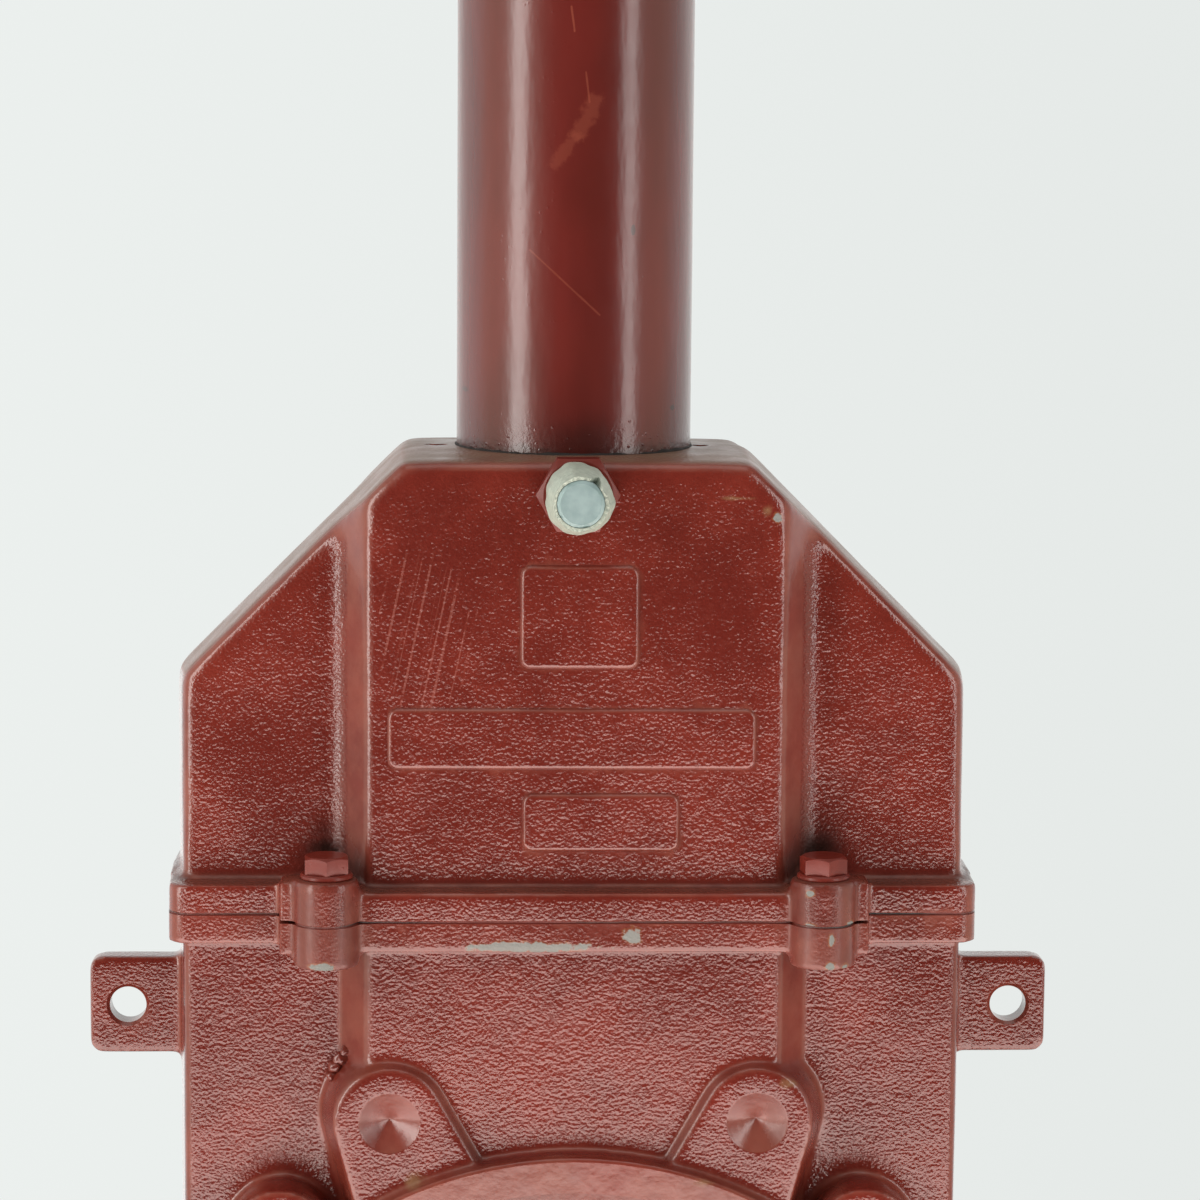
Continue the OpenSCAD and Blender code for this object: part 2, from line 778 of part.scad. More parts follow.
module flange_washer(side, end) {
    color("firebrick") in_place() translate([side * bolt_x, end * bolt_y, boss_top])
        difference() {
            cylinder(d = washer_d, h = washer_t);
            translate([0, 0, -cut]) cylinder(r = bolt_d / 2 + slack, h = washer_t + 2 * cut);
        }
}

module flange_bolt_front_left() { flange_bolt(-1, -1); }
module flange_bolt_front_right() { flange_bolt(1, -1); }
module flange_bolt_rear_left() { flange_bolt(-1, 1); }
module flange_bolt_rear_right() { flange_bolt(1, 1); }
module flange_washer_front_left() { flange_washer(-1, -1); }
module flange_washer_front_right() { flange_washer(1, -1); }
module flange_washer_rear_left() { flange_washer(-1, 1); }
module flange_washer_rear_right() { flange_washer(1, 1); }

body_casting();
bonnet_casting();
parting_gasket();
front_seat_ring();
rear_seat_ring();
gate_blade();
gate_lock_nut();
piston_rod();
rod_gland();
gland_seal();
cylinder_piston();
piston_ring();
piston_nut();
cylinder_tube();
cylinder_end_cap();
cap_seal();
lower_port_boss();
upper_port_boss();
locking_screw();
locking_nut();
screw_wrap();
flange_bolt_front_left();
flange_bolt_front_right();
flange_bolt_rear_left();
flange_bolt_rear_right();
flange_washer_front_left();
flange_washer_front_right();
flange_washer_rear_left();
flange_washer_rear_right();
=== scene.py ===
"""Dresses the tanker slide gate valve: two enamelled iron castings, a lift cylinder,
a parting flange with four bolts, a locking screw with torn tape, and the gate set.

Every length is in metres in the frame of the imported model: the origin is the middle of
the passage on the rear flange face, X runs across the valve, Y to the rear and Z up.
"""

import json
import logging
import math
from dataclasses import dataclass
from enum import Enum
from functools import reduce
from typing import Callable, Sequence

import bmesh
import bpy
import numpy as np
from mathutils import Matrix, Vector, noise

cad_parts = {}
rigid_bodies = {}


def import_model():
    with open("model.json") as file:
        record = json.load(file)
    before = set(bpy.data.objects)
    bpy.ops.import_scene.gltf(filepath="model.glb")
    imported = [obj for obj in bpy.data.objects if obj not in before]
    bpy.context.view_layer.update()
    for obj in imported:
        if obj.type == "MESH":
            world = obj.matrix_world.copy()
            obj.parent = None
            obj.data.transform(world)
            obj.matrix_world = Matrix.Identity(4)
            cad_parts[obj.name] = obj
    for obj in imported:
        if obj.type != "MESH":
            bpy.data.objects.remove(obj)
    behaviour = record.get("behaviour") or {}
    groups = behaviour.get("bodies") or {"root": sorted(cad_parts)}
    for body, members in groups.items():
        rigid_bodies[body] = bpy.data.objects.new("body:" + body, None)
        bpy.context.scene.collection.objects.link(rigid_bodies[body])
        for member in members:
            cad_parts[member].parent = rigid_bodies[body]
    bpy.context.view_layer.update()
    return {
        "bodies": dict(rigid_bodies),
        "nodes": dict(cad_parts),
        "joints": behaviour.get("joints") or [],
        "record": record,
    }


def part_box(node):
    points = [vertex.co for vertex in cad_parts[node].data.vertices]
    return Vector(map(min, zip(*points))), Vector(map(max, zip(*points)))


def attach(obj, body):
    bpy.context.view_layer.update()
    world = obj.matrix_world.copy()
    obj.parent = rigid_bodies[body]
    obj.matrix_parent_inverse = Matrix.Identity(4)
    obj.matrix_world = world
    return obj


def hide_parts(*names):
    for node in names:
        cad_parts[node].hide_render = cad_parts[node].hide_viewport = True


LOG = logging.getLogger("gate_valve")
MM = 0.001
ROOT = "root"

Point = tuple[float, float, float]
Flat = tuple[float, float]
Spot = tuple[Point, Point]
Socket = bpy.types.NodeSocket
Rule = Callable[[float], float]


class Cut(Enum):
    """What a tool solid does to a casting."""

    AWAY = "DIFFERENCE"
    JOIN = "UNION"


class Along(Enum):
    """The axis of a turned form, as the turn that brings +Z onto it."""

    REAR = Matrix.Rotation(math.radians(-90.0), 4, "X")
    FRONT = Matrix.Rotation(math.radians(90.0), 4, "X")
    UP = Matrix.Identity(4)


# ---- Mesh making --------------------------------------------------------------------


def show(name: str, mesh: bpy.types.Mesh) -> bpy.types.Object:
    """Puts a mesh into the scene as an object at the origin."""
    piece = bpy.data.objects.new(name, mesh)
    bpy.context.scene.collection.objects.link(piece)
    return piece


def mesh_from(name: str, verts: Sequence[Point], faces: Sequence[Sequence[int]]) -> bpy.types.Mesh:
    """Makes a closed mesh.

    Args:
        name: Name of the mesh.
        verts: Its points.
        faces: The points of each face, in any winding.

    Returns:
        The mesh, with doubles merged and faces turned outwards.
    """
    mesh = bpy.data.meshes.new(name)
    mesh.from_pydata([tuple(v) for v in verts], [], [tuple(f) for f in faces])
    return tidied(mesh)


def tidied(mesh: bpy.types.Mesh, dist: float = 1e-7) -> bpy.types.Mesh:
    """Merges doubles, drops flat slivers and turns the faces outwards.

    Args:
        mesh: The mesh, changed in place.
        dist: How close two points have to be to count as one.

    Returns:
        The mesh.
    """
    work = bmesh.new()
    work.from_mesh(mesh)
    bmesh.ops.remove_doubles(work, verts=work.verts, dist=dist)
    bmesh.ops.dissolve_degenerate(work, edges=work.edges, dist=dist)
    bmesh.ops.recalc_face_normals(work, faces=work.faces)
    work.to_mesh(mesh)
    work.free()
    return mesh


def turned(
    name: str, profile: Sequence[Flat], steps: int, along: Along = Along.UP, at: Point = (0, 0, 0)
) -> bpy.types.Mesh:
    """Spins a profile into a closed solid, as a lathe does.

    Args:
        name: Name of the mesh.
        profile: Closed loop of (radius, height) points; a radius of 0 is a pole.
        steps: Faces around the axis.
        along: Axis of the form.
        at: Where the profile's height 0 lies on the axis.

    Returns:
        The mesh, closed, with its faces outwards.
    """
    verts: list[Point] = []
    for step in range(steps):
        angle = 2 * math.pi * step / steps
        verts += [(r * math.cos(angle), r * math.sin(angle), h) for r, h in profile]
    count = len(profile)
    faces = []
    for step in range(steps):
        here, there = step * count, (step + 1) % steps * count
        for low in range(count):
            high = (low + 1) % count
            if profile[low][0] > 0 or profile[high][0] > 0:
                faces.append((here + low, there + low, there + high, here + high))
    mesh = mesh_from(name, verts, faces)
    mesh.transform(Matrix.Translation(at) @ along.value)
    return mesh


def metres(points_mm: Sequence[Flat]) -> list[Flat]:
    """Points given in millimetres, in metres."""
    return [(a * MM, b * MM) for a, b in points_mm]


def prism(name: str, *rings: Sequence[Point]) -> bpy.types.Mesh:
    """Joins rings of as many points each, one after another, into a closed solid.

    Args:
        name: Name of the mesh.
        rings: The rings; the first and the last are closed with a face.

    Returns:
        The mesh.
    """
    count, last = len(rings[0]), len(rings) - 1
    faces = [tuple(range(count)), tuple(range(count * last, count * (last + 1)))]
    for base in range(0, count * last, count):
        faces += [(base + i, base + (i + 1) % count, base + count + (i + 1) % count, base + count + i)
                  for i in range(count)]
    return mesh_from(name, [point for ring in rings for point in ring], faces)


def slab(name: str, outline: Sequence[Flat], y0: float, y1: float) -> bpy.types.Mesh:
    """Extrudes an outline in the XZ plane from y0 to y1."""
    return prism(name, *([(x, y, z) for x, z in outline] for y in (y0, y1)))


def upright(name: str, outline: Sequence[Flat], z0: float, z1: float) -> bpy.types.Mesh:
    """Extrudes an outline in the XY plane from z0 to z1."""
    return prism(name, *([(x, y, z) for x, y in outline] for z in (z0, z1)))


def block(name: str, low: Point, high: Point) -> bpy.types.Mesh:
    """A box between two corners."""
    outline = [(low[0], low[2]), (high[0], low[2]), (high[0], high[2]), (low[0], high[2])]
    return slab(name, outline, low[1], high[1])


def rod(name: str, radius: float, low: float, high: float, along: Along, at: Point) -> bpy.types.Mesh:
    """A round rod from low to high along its axis."""
    return turned(name, [(0, low), (radius, low), (radius, high), (0, high)], 48, along, at)


def baked(piece: bpy.types.Object) -> bpy.types.Object:
    """Applies a piece's modifiers to its mesh.

    Args:
        piece: The object, its modifiers in order.

    Returns:
        The piece, with a plain mesh.
    """
    graph = bpy.context.evaluated_depsgraph_get()
    mesh = bpy.data.meshes.new_from_object(piece.evaluated_get(graph))
    piece.modifiers.clear()
    piece.data = mesh
    return piece


def carve(piece: bpy.types.Object, tool: bpy.types.Mesh, cut: Cut) -> bpy.types.Object:
    """Cuts a piece with a tool solid, or joins them.

    Args:
        piece: The closed piece that is changed.
        tool: The closed tool, used up here.
        cut: What the tool does.

    Returns:
        The piece.
    """
    helper = show("tool", tool)
    change = piece.modifiers.new("carve", "BOOLEAN")
    change.operation = cut.value
    change.solver = "MANIFOLD"
    change.object = helper
    baked(piece)
    bpy.data.objects.remove(helper)
    return piece


def shaded(piece: bpy.types.Object, angle: float = 32.0) -> bpy.types.Object:
    """Smooth shading with crisp edges above an angle in degrees."""
    piece.data.shade_smooth()
    piece.data.set_sharp_from_angle(angle=math.radians(angle))
    return piece


def soften(piece: bpy.types.Object, weights: np.ndarray, passes: int) -> None:
    """Smooths a piece, each vertex as far as its weight says.

    Args:
        piece: The object to smooth.
        weights: One value from 0 to 1 for each vertex, in a few steps.
        passes: How many times the vertices are eased.
    """
    if not weights.any():
        return
    group = piece.vertex_groups.new(name="worn")
    for level in np.unique(weights[weights > 0]):
        group.add(np.flatnonzero(weights == level).tolist(), float(level), "REPLACE")
    soft = piece.modifiers.new("soft", "SMOOTH")
    soft.factor, soft.iterations, soft.vertex_group = 0.5, passes, group.name
    baked(piece)
    piece.vertex_groups.clear()


def coords(mesh: bpy.types.Mesh) -> np.ndarray:
    """The vertices of a mesh as an array of rows."""
    rows = np.empty(len(mesh.vertices) * 3, np.float32)
    mesh.vertices.foreach_get("co", rows)
    return rows.reshape(-1, 3).astype(np.float64)


def set_coords(mesh: bpy.types.Mesh, rows: np.ndarray) -> None:
    """Moves the vertices of a mesh."""
    mesh.vertices.foreach_set("co", rows.astype(np.float32).ravel())
    mesh.update()


def normals(mesh: bpy.types.Mesh) -> np.ndarray:
    """The vertex normals of a mesh as an array of rows."""
    rows = np.empty(len(mesh.vertices) * 3, np.float32)
    mesh.vertex_normals.foreach_get("vector", rows)
    return rows.reshape(-1, 3).astype(np.float64)


def ramp(value: np.ndarray, low: float, high: float) -> np.ndarray:
    """Smooth step from 0 at low to 1 at high."""
    t = np.clip((value - low) / (high - low), 0.0, 1.0)
    return t * t * (3.0 - 2.0 * t)


def store(mesh: bpy.types.Mesh, name: str, values: np.ndarray) -> None:
    """Writes one number for each vertex as an attribute."""
    layer = mesh.attributes.new(name, "FLOAT", "POINT")
    layer.data.foreach_set("value", values.astype(np.float32))


def hollows(mesh: bpy.types.Mesh) -> np.ndarray:
    """How deep in a rounded corner each vertex lies.

    Args:
        mesh: A mesh with even edges.

    Returns:
        For each vertex 0 on flats and outer edges, up to 1 in a fillet.
    """
    rows, turn = coords(mesh), normals(mesh)
    pairs = np.empty(2 * len(mesh.edges), dtype=np.int64)
    mesh.edges.foreach_get("vertices", pairs)
    first, last = pairs.reshape(-1, 2).T
    step = rows[last] - rows[first]
    size = np.maximum((step**2).sum(axis=1), 1e-12)
    count = np.maximum(np.bincount(pairs, minlength=len(rows)), 1)
    bend = np.bincount(first, (step * turn[first]).sum(axis=1) / size, len(rows))
    bend -= np.bincount(last, (step * turn[last]).sum(axis=1) / size, len(rows))
    bend /= count
    for _ in range(3):
        around = np.bincount(first, bend[last], len(rows))
        around += np.bincount(last, bend[first], len(rows))
        bend = 0.4 * bend + 0.6 * around / count
    return ramp(bend * MM, 0.02, 0.06)


def waves(rows: np.ndarray, size: float, seed: float) -> np.ndarray:
    """Soft noise in -1..1 at each point, with features of about the given size."""
    shift = Vector((seed, seed * 1.7, seed * 0.6))
    return np.array([noise.noise(Vector(row) / size + shift) for row in rows])


def mount(
    piece: bpy.types.Object, finish: bpy.types.Material, nodes: Sequence[str] = ()
) -> bpy.types.Object:
    """Dresses a finished piece and ties it to the frame.

    Args:
        piece: The piece, at the origin.
        finish: Its material.
        nodes: The CAD nodes that it stands for.

    Returns:
        The piece.
    """
    piece.data.materials.clear()
    piece.data.materials.append(finish)
    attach(piece, ROOT)
    if nodes:
        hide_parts(*nodes)
    LOG.info("%s: %d faces for %s", piece.name, len(piece.data.polygons), ", ".join(nodes) or "itself")
    return piece


# ---- Material making ----------------------------------------------------------------


def linear(code: str) -> tuple[float, float, float, float]:
    """An sRGB hex value as a linear colour."""
    parts = [int(code.lstrip("#")[i : i + 2], 16) / 255 for i in (0, 2, 4)]
    r, g, b = (c / 12.92 if c <= 0.04045 else ((c + 0.055) / 1.055) ** 2.4 for c in parts)
    return (r, g, b, 1.0)


def add(tree: bpy.types.NodeTree, kind: str, feeds: dict | None = None, **settings) -> bpy.types.Node:
    """Adds a node with its settings, socket values and links.

    Args:
        tree: The node tree.
        kind: The node's type name.
        feeds: Input name or index to a value, or to the socket or field that is linked to it.
        settings: Properties of the node.

    Returns:
        The new node.
    """
    node = tree.nodes.new(kind)
    for key, value in settings.items():
        setattr(node, key, value)
    for key, value in (feeds or {}).items():
        value = value.socket if isinstance(value, Field) else value
        if isinstance(value, Socket):
            tree.links.new(value, node.inputs[key])
        else:
            node.inputs[key].default_value = value
    return node


@dataclass(frozen=True)
class Field:
    """A number, colour or place that varies over a surface, and reckons as a plain number does."""

    socket: Socket

    def made(self, kind: str, feeds: dict, result: int | str = 0, **settings) -> "Field":
        """The result of a node in the same tree."""
        return Field(add(self.socket.id_data, kind, feeds, **settings).outputs[result])

    def reckon(self, operation: str, *values: "Field | float") -> "Field":
        """The result of an operation on numbers."""
        return self.made("ShaderNodeMath", dict(enumerate(values)), operation=operation)

    def __add__(self, other: "Field | float") -> "Field":
        """The sum."""
        return self.reckon("ADD", self, other)

    def __sub__(self, other: "Field | float") -> "Field":
        """The difference."""
        return self.reckon("SUBTRACT", self, other)

    def __rsub__(self, other: float) -> "Field":
        """What this leaves of a number."""
        return self.reckon("SUBTRACT", other, self)

    def __mul__(self, other: "Field | float") -> "Field":
        """The product."""
        return self.reckon("MULTIPLY", self, other)

    def __truediv__(self, other: "Field | float") -> "Field":
        """The quotient."""
        return self.reckon("DIVIDE", self, other)

    def __abs__(self) -> "Field":
        """The size without its sign."""
        return self.reckon("ABSOLUTE", self)

    def at_least(self, floor: "Field | float") -> "Field":
        """The greater of two values."""
        return self.reckon("MAXIMUM", self, floor)

    def at_most(self, limit: "Field | float") -> "Field":
        """The lesser of two values."""
        return self.reckon("MINIMUM", self, limit)

    def rise(self, low: float, high: float) -> "Field":
        """A smooth step from 0 at low to 1 at high."""
        feeds = {"Value": self, "From Min": low, "From Max": high}
        return self.made("ShaderNodeMapRange", feeds, interpolation_type="SMOOTHSTEP")

    def fall(self, low: float, high: float) -> "Field":
        """A smooth step from 1 at low to 0 at high."""
        return 1.0 - self.rise(low, high)

    def between(self, low: "Field", high: "Field") -> "Field":
        """The number this far on the way from one to another."""
        return self.made("ShaderNodeMapRange", {"Value": self, "To Min": low, "To Max": high})

    def mix(self, under: "Field | tuple", over: "Field | tuple") -> "Field":
        """One colour laid over another by this amount; 6 and 7 are the colours' inputs."""
        return self.made("ShaderNodeMix", {0: self, 6: under, 7: over}, 2, data_type="RGBA")

    def axes(self) -> "tuple[Field, Field, Field]":
        """The X, Y and Z of a place."""
        x, y, z = add(self.socket.id_data, "ShaderNodeSeparateXYZ", {0: self}).outputs
        return Field(x), Field(y), Field(z)

    def arrow(self, operation: str, *others: "Field | Point", result: str = "Vector") -> "Field":
        """The result of an operation on places."""
        feeds = dict(enumerate((self, *others)))
        return self.made("ShaderNodeVectorMath", feeds, result, operation=operation)


class Coat:
    """A material in the making: its node tree and the piece's own coordinates."""

    def __init__(self, name: str) -> None:
        """Starts an empty material.

        Args:
            name: Its name.
        """
        self.material = bpy.data.materials.new(name)
        self.material.use_nodes = True
        self.tree = self.material.node_tree
        self.tree.nodes.clear()
        self.where = Field(add(self.tree, "ShaderNodeTexCoord").outputs["Object"])

    def read(self, attribute: str) -> Field:
        """A value that the piece's vertices hold."""
        return Field(add(self.tree, "ShaderNodeAttribute", attribute_name=attribute).outputs["Fac"])

    def stretched(self, scale: Point) -> Field:
        """The coordinates, scaled along each axis."""
        return self.where.made("ShaderNodeMapping", {"Vector": self.where, "Scale": scale})

    def cloud(
        self, size_mm: float, detail: float, roughness: float = 0.6, where: Field | None = None
    ) -> Field:
        """Noise in 0..1.

        Args:
            size_mm: About how large its features are.
            detail: How many finer layers it has.
            roughness: How strong the finer layers are.
            where: Coordinates, the piece's own unless given.

        Returns:
            The noise.
        """
        return self.where.made("ShaderNodeTexNoise", {
            "Vector": where or self.where, "Scale": 1 / (size_mm * MM), "Detail": detail,
            "Roughness": roughness})

    def streaks(self, across: Field, size_mm: float, detail: float) -> Field:
        """Noise in 0..1 that varies only with one length."""
        return across.made("ShaderNodeTexNoise", {
            "W": across / (size_mm * MM), "Scale": 1.0, "Detail": detail}, noise_dimensions="1D")

    def spots(self, ragged: Field, places: Sequence[Spot], tear: float = 1.1, soft: float = 0.17) -> Field:
        """Where the enamel is marked: soft ellipsoids with a ragged edge.

        Args:
            ragged: Noise in 0..1 that breaks the edge.
            places: Centre and half sizes of each mark, in millimetres.
            tear: How far the noise eats into the edge.
            soft: How gently the edge fades out.

        Returns:
            An amount from 0 to 1.
        """
        edge, marks = 0.25, []
        for centre, half in places:
            local = self.where.made("ShaderNodeMapping", {
                "Vector": self.where,
                "Location": tuple(-c * MM / (h * MM) for c, h in zip(centre, half)),
                "Scale": tuple(1.0 / (h * MM) for h in half),
            })
            away = local.arrow("LENGTH", result="Value") + ragged * tear
            marks.append((1.05 + tear / 2 - away).rise(edge, edge + soft))
        return reduce(Field.at_least, marks)

    def bumps(self, height: Field, depth_mm: float) -> Field:
        """The surface's slope, from heights that span a depth."""
        return height.made("ShaderNodeBump", {
            "Height": height, "Strength": 1.0, "Distance": depth_mm * MM})

    def closed(self, feeds: dict) -> bpy.types.Material:
        """Ends the tree in a Principled shader with the given inputs."""
        shader = add(self.tree, "ShaderNodeBsdfPrincipled", feeds)
        add(self.tree, "ShaderNodeOutputMaterial", {"Surface": shader.outputs["BSDF"]})
        return self.material


# ---- Finishes -----------------------------------------------------------------------


@dataclass(frozen=True)
class Scratches:
    """Fine parallel scrapes in one plane: where they are, and how they lean and lie."""

    centre: Point
    half: Point
    lean: float = 12.0
    spacing_mm: float = 1.3

    def amount(self, coat: Coat, ragged: Field) -> Field:
        """How scraped the enamel is.

        Args:
            coat: The material in the making.
            ragged: Noise in 0..1 that breaks the edge of the scraped patch.

        Returns:
            An amount from 0 to 1.
        """
        turn = math.radians(self.lean)
        lean = (math.cos(turn), 0.0, -math.sin(turn))
        across = coat.where.arrow("DOT_PRODUCT", lean, result="Value")
        lines = coat.streaks(across, self.spacing_mm, 1.0)
        return coat.spots(ragged, ((self.centre, self.half),)) * lines.rise(0.55, 0.68)


# Brushed alkyd enamel on sand-cast grey iron. The eye sees a deep oxide red with a wet gloss
# that sparkles on the pebbles the sand left. The smooth roundings and walls are painted paler:
# painted sheen all over them, and more here and there where the paint is rubbed.
@dataclass(frozen=True)
class CastEnamel:
    """Gloss enamel brushed thick over rough cast iron: pebbled flats, smooth roundings."""

    name: str
    marks: tuple[Spot, ...] = ()
    stains: tuple[Spot, ...] = ()
    scratches: Scratches | None = None
    red: str = "#6d261d"
    deep: str = "#5c1e17"
    pale: str = "#823d32"
    filler: str = "#777a76"
    rust: str = "#7c4d30"
    stain: str = "#8f7856"
    # Paler red on the smooth roundings: painted sheen, and rubbed paint in places
    sheen_and_rub_tone: str = "#8f5545"
    scrape: str = "#a5604f"
    dust: str = "#6e5a4a"
    # Dark colour for real grime on the bolt bosses, and for painted shade and darker corners
    grime: str = "#22130f"
    pebble_mm: float = 1.0
    bump_mm: float = 0.21
    roughness: float = 0.12

    def material(self) -> bpy.types.Material:
        """Builds the enamel.

        Returns:
            The material.
        """
        coat = Coat(self.name)
        grain, level, dirt_and_shade = (coat.read(name) for name in ("grain", "level", "dirt_and_shade"))
        patch, ragged = coat.cloud(38, 3.0), coat.cloud(3.2, 5.0, 0.65)
        # A paler tone painted on the smooth roundings and walls stands in for their sheen, and is
        # stronger here and there where the paint is rubbed; they are duller too
        smooth = 1.0 - grain
        sheen_and_rub = smooth.at_least(0.0) * (coat.cloud(17, 4.0).rise(0.35, 0.65) * 0.24 + 0.1)
        tone = patch.rise(0.35, 0.7).mix(linear(self.deep), linear(self.red))
        tone = (ragged.rise(0.5, 0.8) * 0.2).mix(tone, linear(self.pale))
        tone = sheen_and_rub.mix(tone, linear(self.sheen_and_rub_tone))
        gloss = ragged * 0.06 + (self.roughness - 0.03) + smooth * 0.1
        # Brown road dust lies where the castings face up. The grime colour darkens and dulls the
        # enamel: real grime on the bolt bosses, painted shade down the inner flanks of the upper lugs,
        # and a darker tone along the bonnet's panel feet and in the corners behind its bolt bosses
        film = level * (coat.cloud(11, 3.0, 0.5).rise(0.25, 0.7) * 0.28 + 0.52)
        patchy = coat.cloud(7, 4.0)
        darkening = (dirt_and_shade * (patchy.rise(0.35, 0.6) * 0.6 + 0.6)).at_most(0.95)
        tone = darkening.mix(film.mix(tone, linear(self.dust)), linear(self.grime))
        gloss = gloss + film * 0.4 + darkening * 0.4
        if self.scratches:
            scraped = self.scratches.amount(coat, ragged)
            tone = (scraped * 0.15).mix(tone, linear(self.scrape))
            gloss = gloss + scraped * 0.2
        if self.marks:
            # Chips down to grey filler, with a thin halo of rust
            tear, halo_mm = 1.7, 0.7
            around = [(centre, tuple(h + halo_mm for h in half)) for centre, half in self.marks]
            tone = (coat.spots(ragged, around, tear) * 0.55).mix(tone, linear(self.rust))
            chipped = coat.spots(ragged, self.marks, tear)
            tone = (chipped * 0.9).mix(tone, linear(self.filler))
            gloss = gloss + chipped * 0.5
        if self.stains:
            tone = (coat.spots(patchy, self.stains, 1.8, 0.8) * 0.4).mix(tone, linear(self.stain))
        return coat.closed({
            "Base Color": tone,
            "Roughness": gloss,
            "Specular IOR Level": 0.5 - film.at_least(darkening) * 0.48,
            "Normal": coat.bumps(self.height(coat, grain, patch), self.bump_mm),
            "IOR": 1.5,
        })

    def height(self, coat: Coat, grain: Field, patch: Field) -> Field:
        """Round pebbles on low lumps: the sand of the mould, half filled by the paint.

        Args:
            coat: The material in the making.
            grain: How pebbled the casting is.
            patch: Broad noise in 0..1 that varies the pebbles' strength.

        Returns:
            The height of the surface.
        """
        cells = coat.where.made("ShaderNodeTexVoronoi", {
            "Vector": coat.stretched((0.86, 0.86, 1.05)), "Scale": 1 / (self.pebble_mm * MM),
            "Smoothness": 0.35}, "Distance", feature="SMOOTH_F1")
        pebble = coat.cloud(0.95, 2.0, 0.55) * 0.8 - cells * 0.5
        strength = grain * (patch.rise(0.25, 0.62) * 0.4 + 0.6) + 0.09
        return pebble * strength + coat.cloud(6, 2.0, 0.5) * 0.8


@dataclass(frozen=True)
class Stroke:
    """A straight scuff or scratch on the front: its ends in X and Z, half width and depth."""

    start: Flat
    end: Flat
    half_mm: float
    depth: float
    ragged: float = 0.6

    def amount(self, coat: Coat, rough: Field) -> Field:
        """How far the paint is worn.

        Args:
            coat: The material in the making.
            rough: Noise in 0..1 that breaks the edge.

        Returns:
            An amount from 0 to the stroke's depth.
        """
        # Nothing behind this depth is rubbed
        behind = -54 * MM
        run = tuple((b - a) * MM for a, b in zip(self.start, self.end))
        length = run[0] ** 2 + run[1] ** 2
        off = coat.where.arrow("MULTIPLY", (1, 0, 1))
        off = off.arrow("SUBTRACT", (self.start[0] * MM, 0, self.start[1] * MM))
        part = off.arrow("DOT_PRODUCT", (run[0] / length, 0, run[1] / length), result="Value")
        near = off.made("ShaderNodeVectorMath", {
            0: (run[0], 0, run[1]), "Scale": part.at_least(0.0).at_most(1.0)}, operation="SCALE")
        away = off.arrow("DISTANCE", near, result="Value") / (self.half_mm * MM)
        away = away + (rough - 0.5) * (2 * self.ragged)
        _, depth, _ = coat.where.axes()
        return away.fall(0.3, 1.0) * depth.reckon("LESS_THAN", depth, behind) * self.depth


# The same enamel on drawn steel. The eye sees long soft reflections, drawn out by runs that
# dried upright, broken by pimples of grit, and a sooty stain where the tube meets the casting.
@dataclass(frozen=True)
class TubeEnamel:
    """The same enamel on steel: smooth, with runs, pimples, specks and a grimy foot."""

    name: str
    red: str = "#5b1d18"
    deep: str = "#4d1712"
    pale: str = "#8f4a38"
    grime: str = "#241310"
    foot: float = -1.0
    strokes: tuple[Stroke, ...] = ()
    nicks: tuple[Spot, ...] = ()
    bump_mm: float = 0.1
    roughness: float = 0.235
    shine: float = 0.5
    pimple_mm: float = 2.6
    speck_mm: float = 31.0

    def material(self) -> bpy.types.Material:
        """Builds the enamel.

        Returns:
            The material.
        """
        coat = Coat(self.name)
        upright = coat.stretched((1.0, 1.0, 0.3))
        runs, patch = coat.cloud(5, 2.0, where=upright), coat.cloud(30, 3.0, where=upright)
        ragged = coat.cloud(3.0, 5.0)
        x, _, z = coat.where.axes()
        foot = z.fall(self.foot, self.foot + 16 * MM)
        crowd = (patch.rise(0.5, 0.7) * 0.3).at_least(foot)
        pimple = self.cells(coat, self.pimple_mm).fall(0.0, 0.2) * crowd
        height = runs + pimple * 1.6 + coat.cloud(1.5, 2.0) * (foot * 1.1 + 0.1)
        tone = patch.rise(0.35, 0.7).mix(linear(self.deep), linear(self.red))
        # A few black specks where grit stuck in the wet paint
        specks = self.cells(coat, self.speck_mm).fall(0.018, 0.026)
        tone = specks.mix(tone, linear(self.grime))
        tone = self.darkening(x, z, patch, ragged).mix(tone, linear(self.grime))
        for stroke in self.strokes:
            tone = stroke.amount(coat, ragged).mix(tone, linear(self.pale))
        if self.nicks:
            tone = (coat.spots(ragged, self.nicks) * 0.7).mix(tone, linear(self.grime))
        return coat.closed({
            "Base Color": tone,
            "Roughness": ragged * 0.1 + (self.roughness - 0.05),
            "Specular IOR Level": self.shine,
            "Normal": coat.bumps(height, self.bump_mm),
            "IOR": 1.5,
        })

    @staticmethod
    def cells(coat: Coat, size_mm: float) -> Field:
        """Distance from scattered points, 0 at each, that lie about one size apart."""
        feeds = {"Vector": coat.where, "Scale": 1 / (size_mm * MM)}
        return coat.where.made("ShaderNodeTexVoronoi", feeds, "Distance")

    def darkening(self, x: Field, z: Field, patch: Field, ragged: Field) -> Field:
        """The stain above the foot, a little to the right, and the dark rim along it.

        Args:
            x: Place across the valve.
            z: Height.
            patch: Broad noise in 0..1 that breaks the stain's outline.
            ragged: Fine noise in 0..1 that breaks the rim.

        Returns:
            An amount from 0 to 1.
        """
        above = (z - self.foot) / (13 * MM)
        aside = (x - 3 * MM) / (17 * MM)
        away = above.reckon("SQRT", above * above + aside * aside) + (patch - 0.5) * 0.8
        rim = above + (ragged - 0.5) * 0.5
        return (away.fall(0.25, 1.15) * 0.55).at_least(rim.fall(0.02, 0.3) * 0.62)


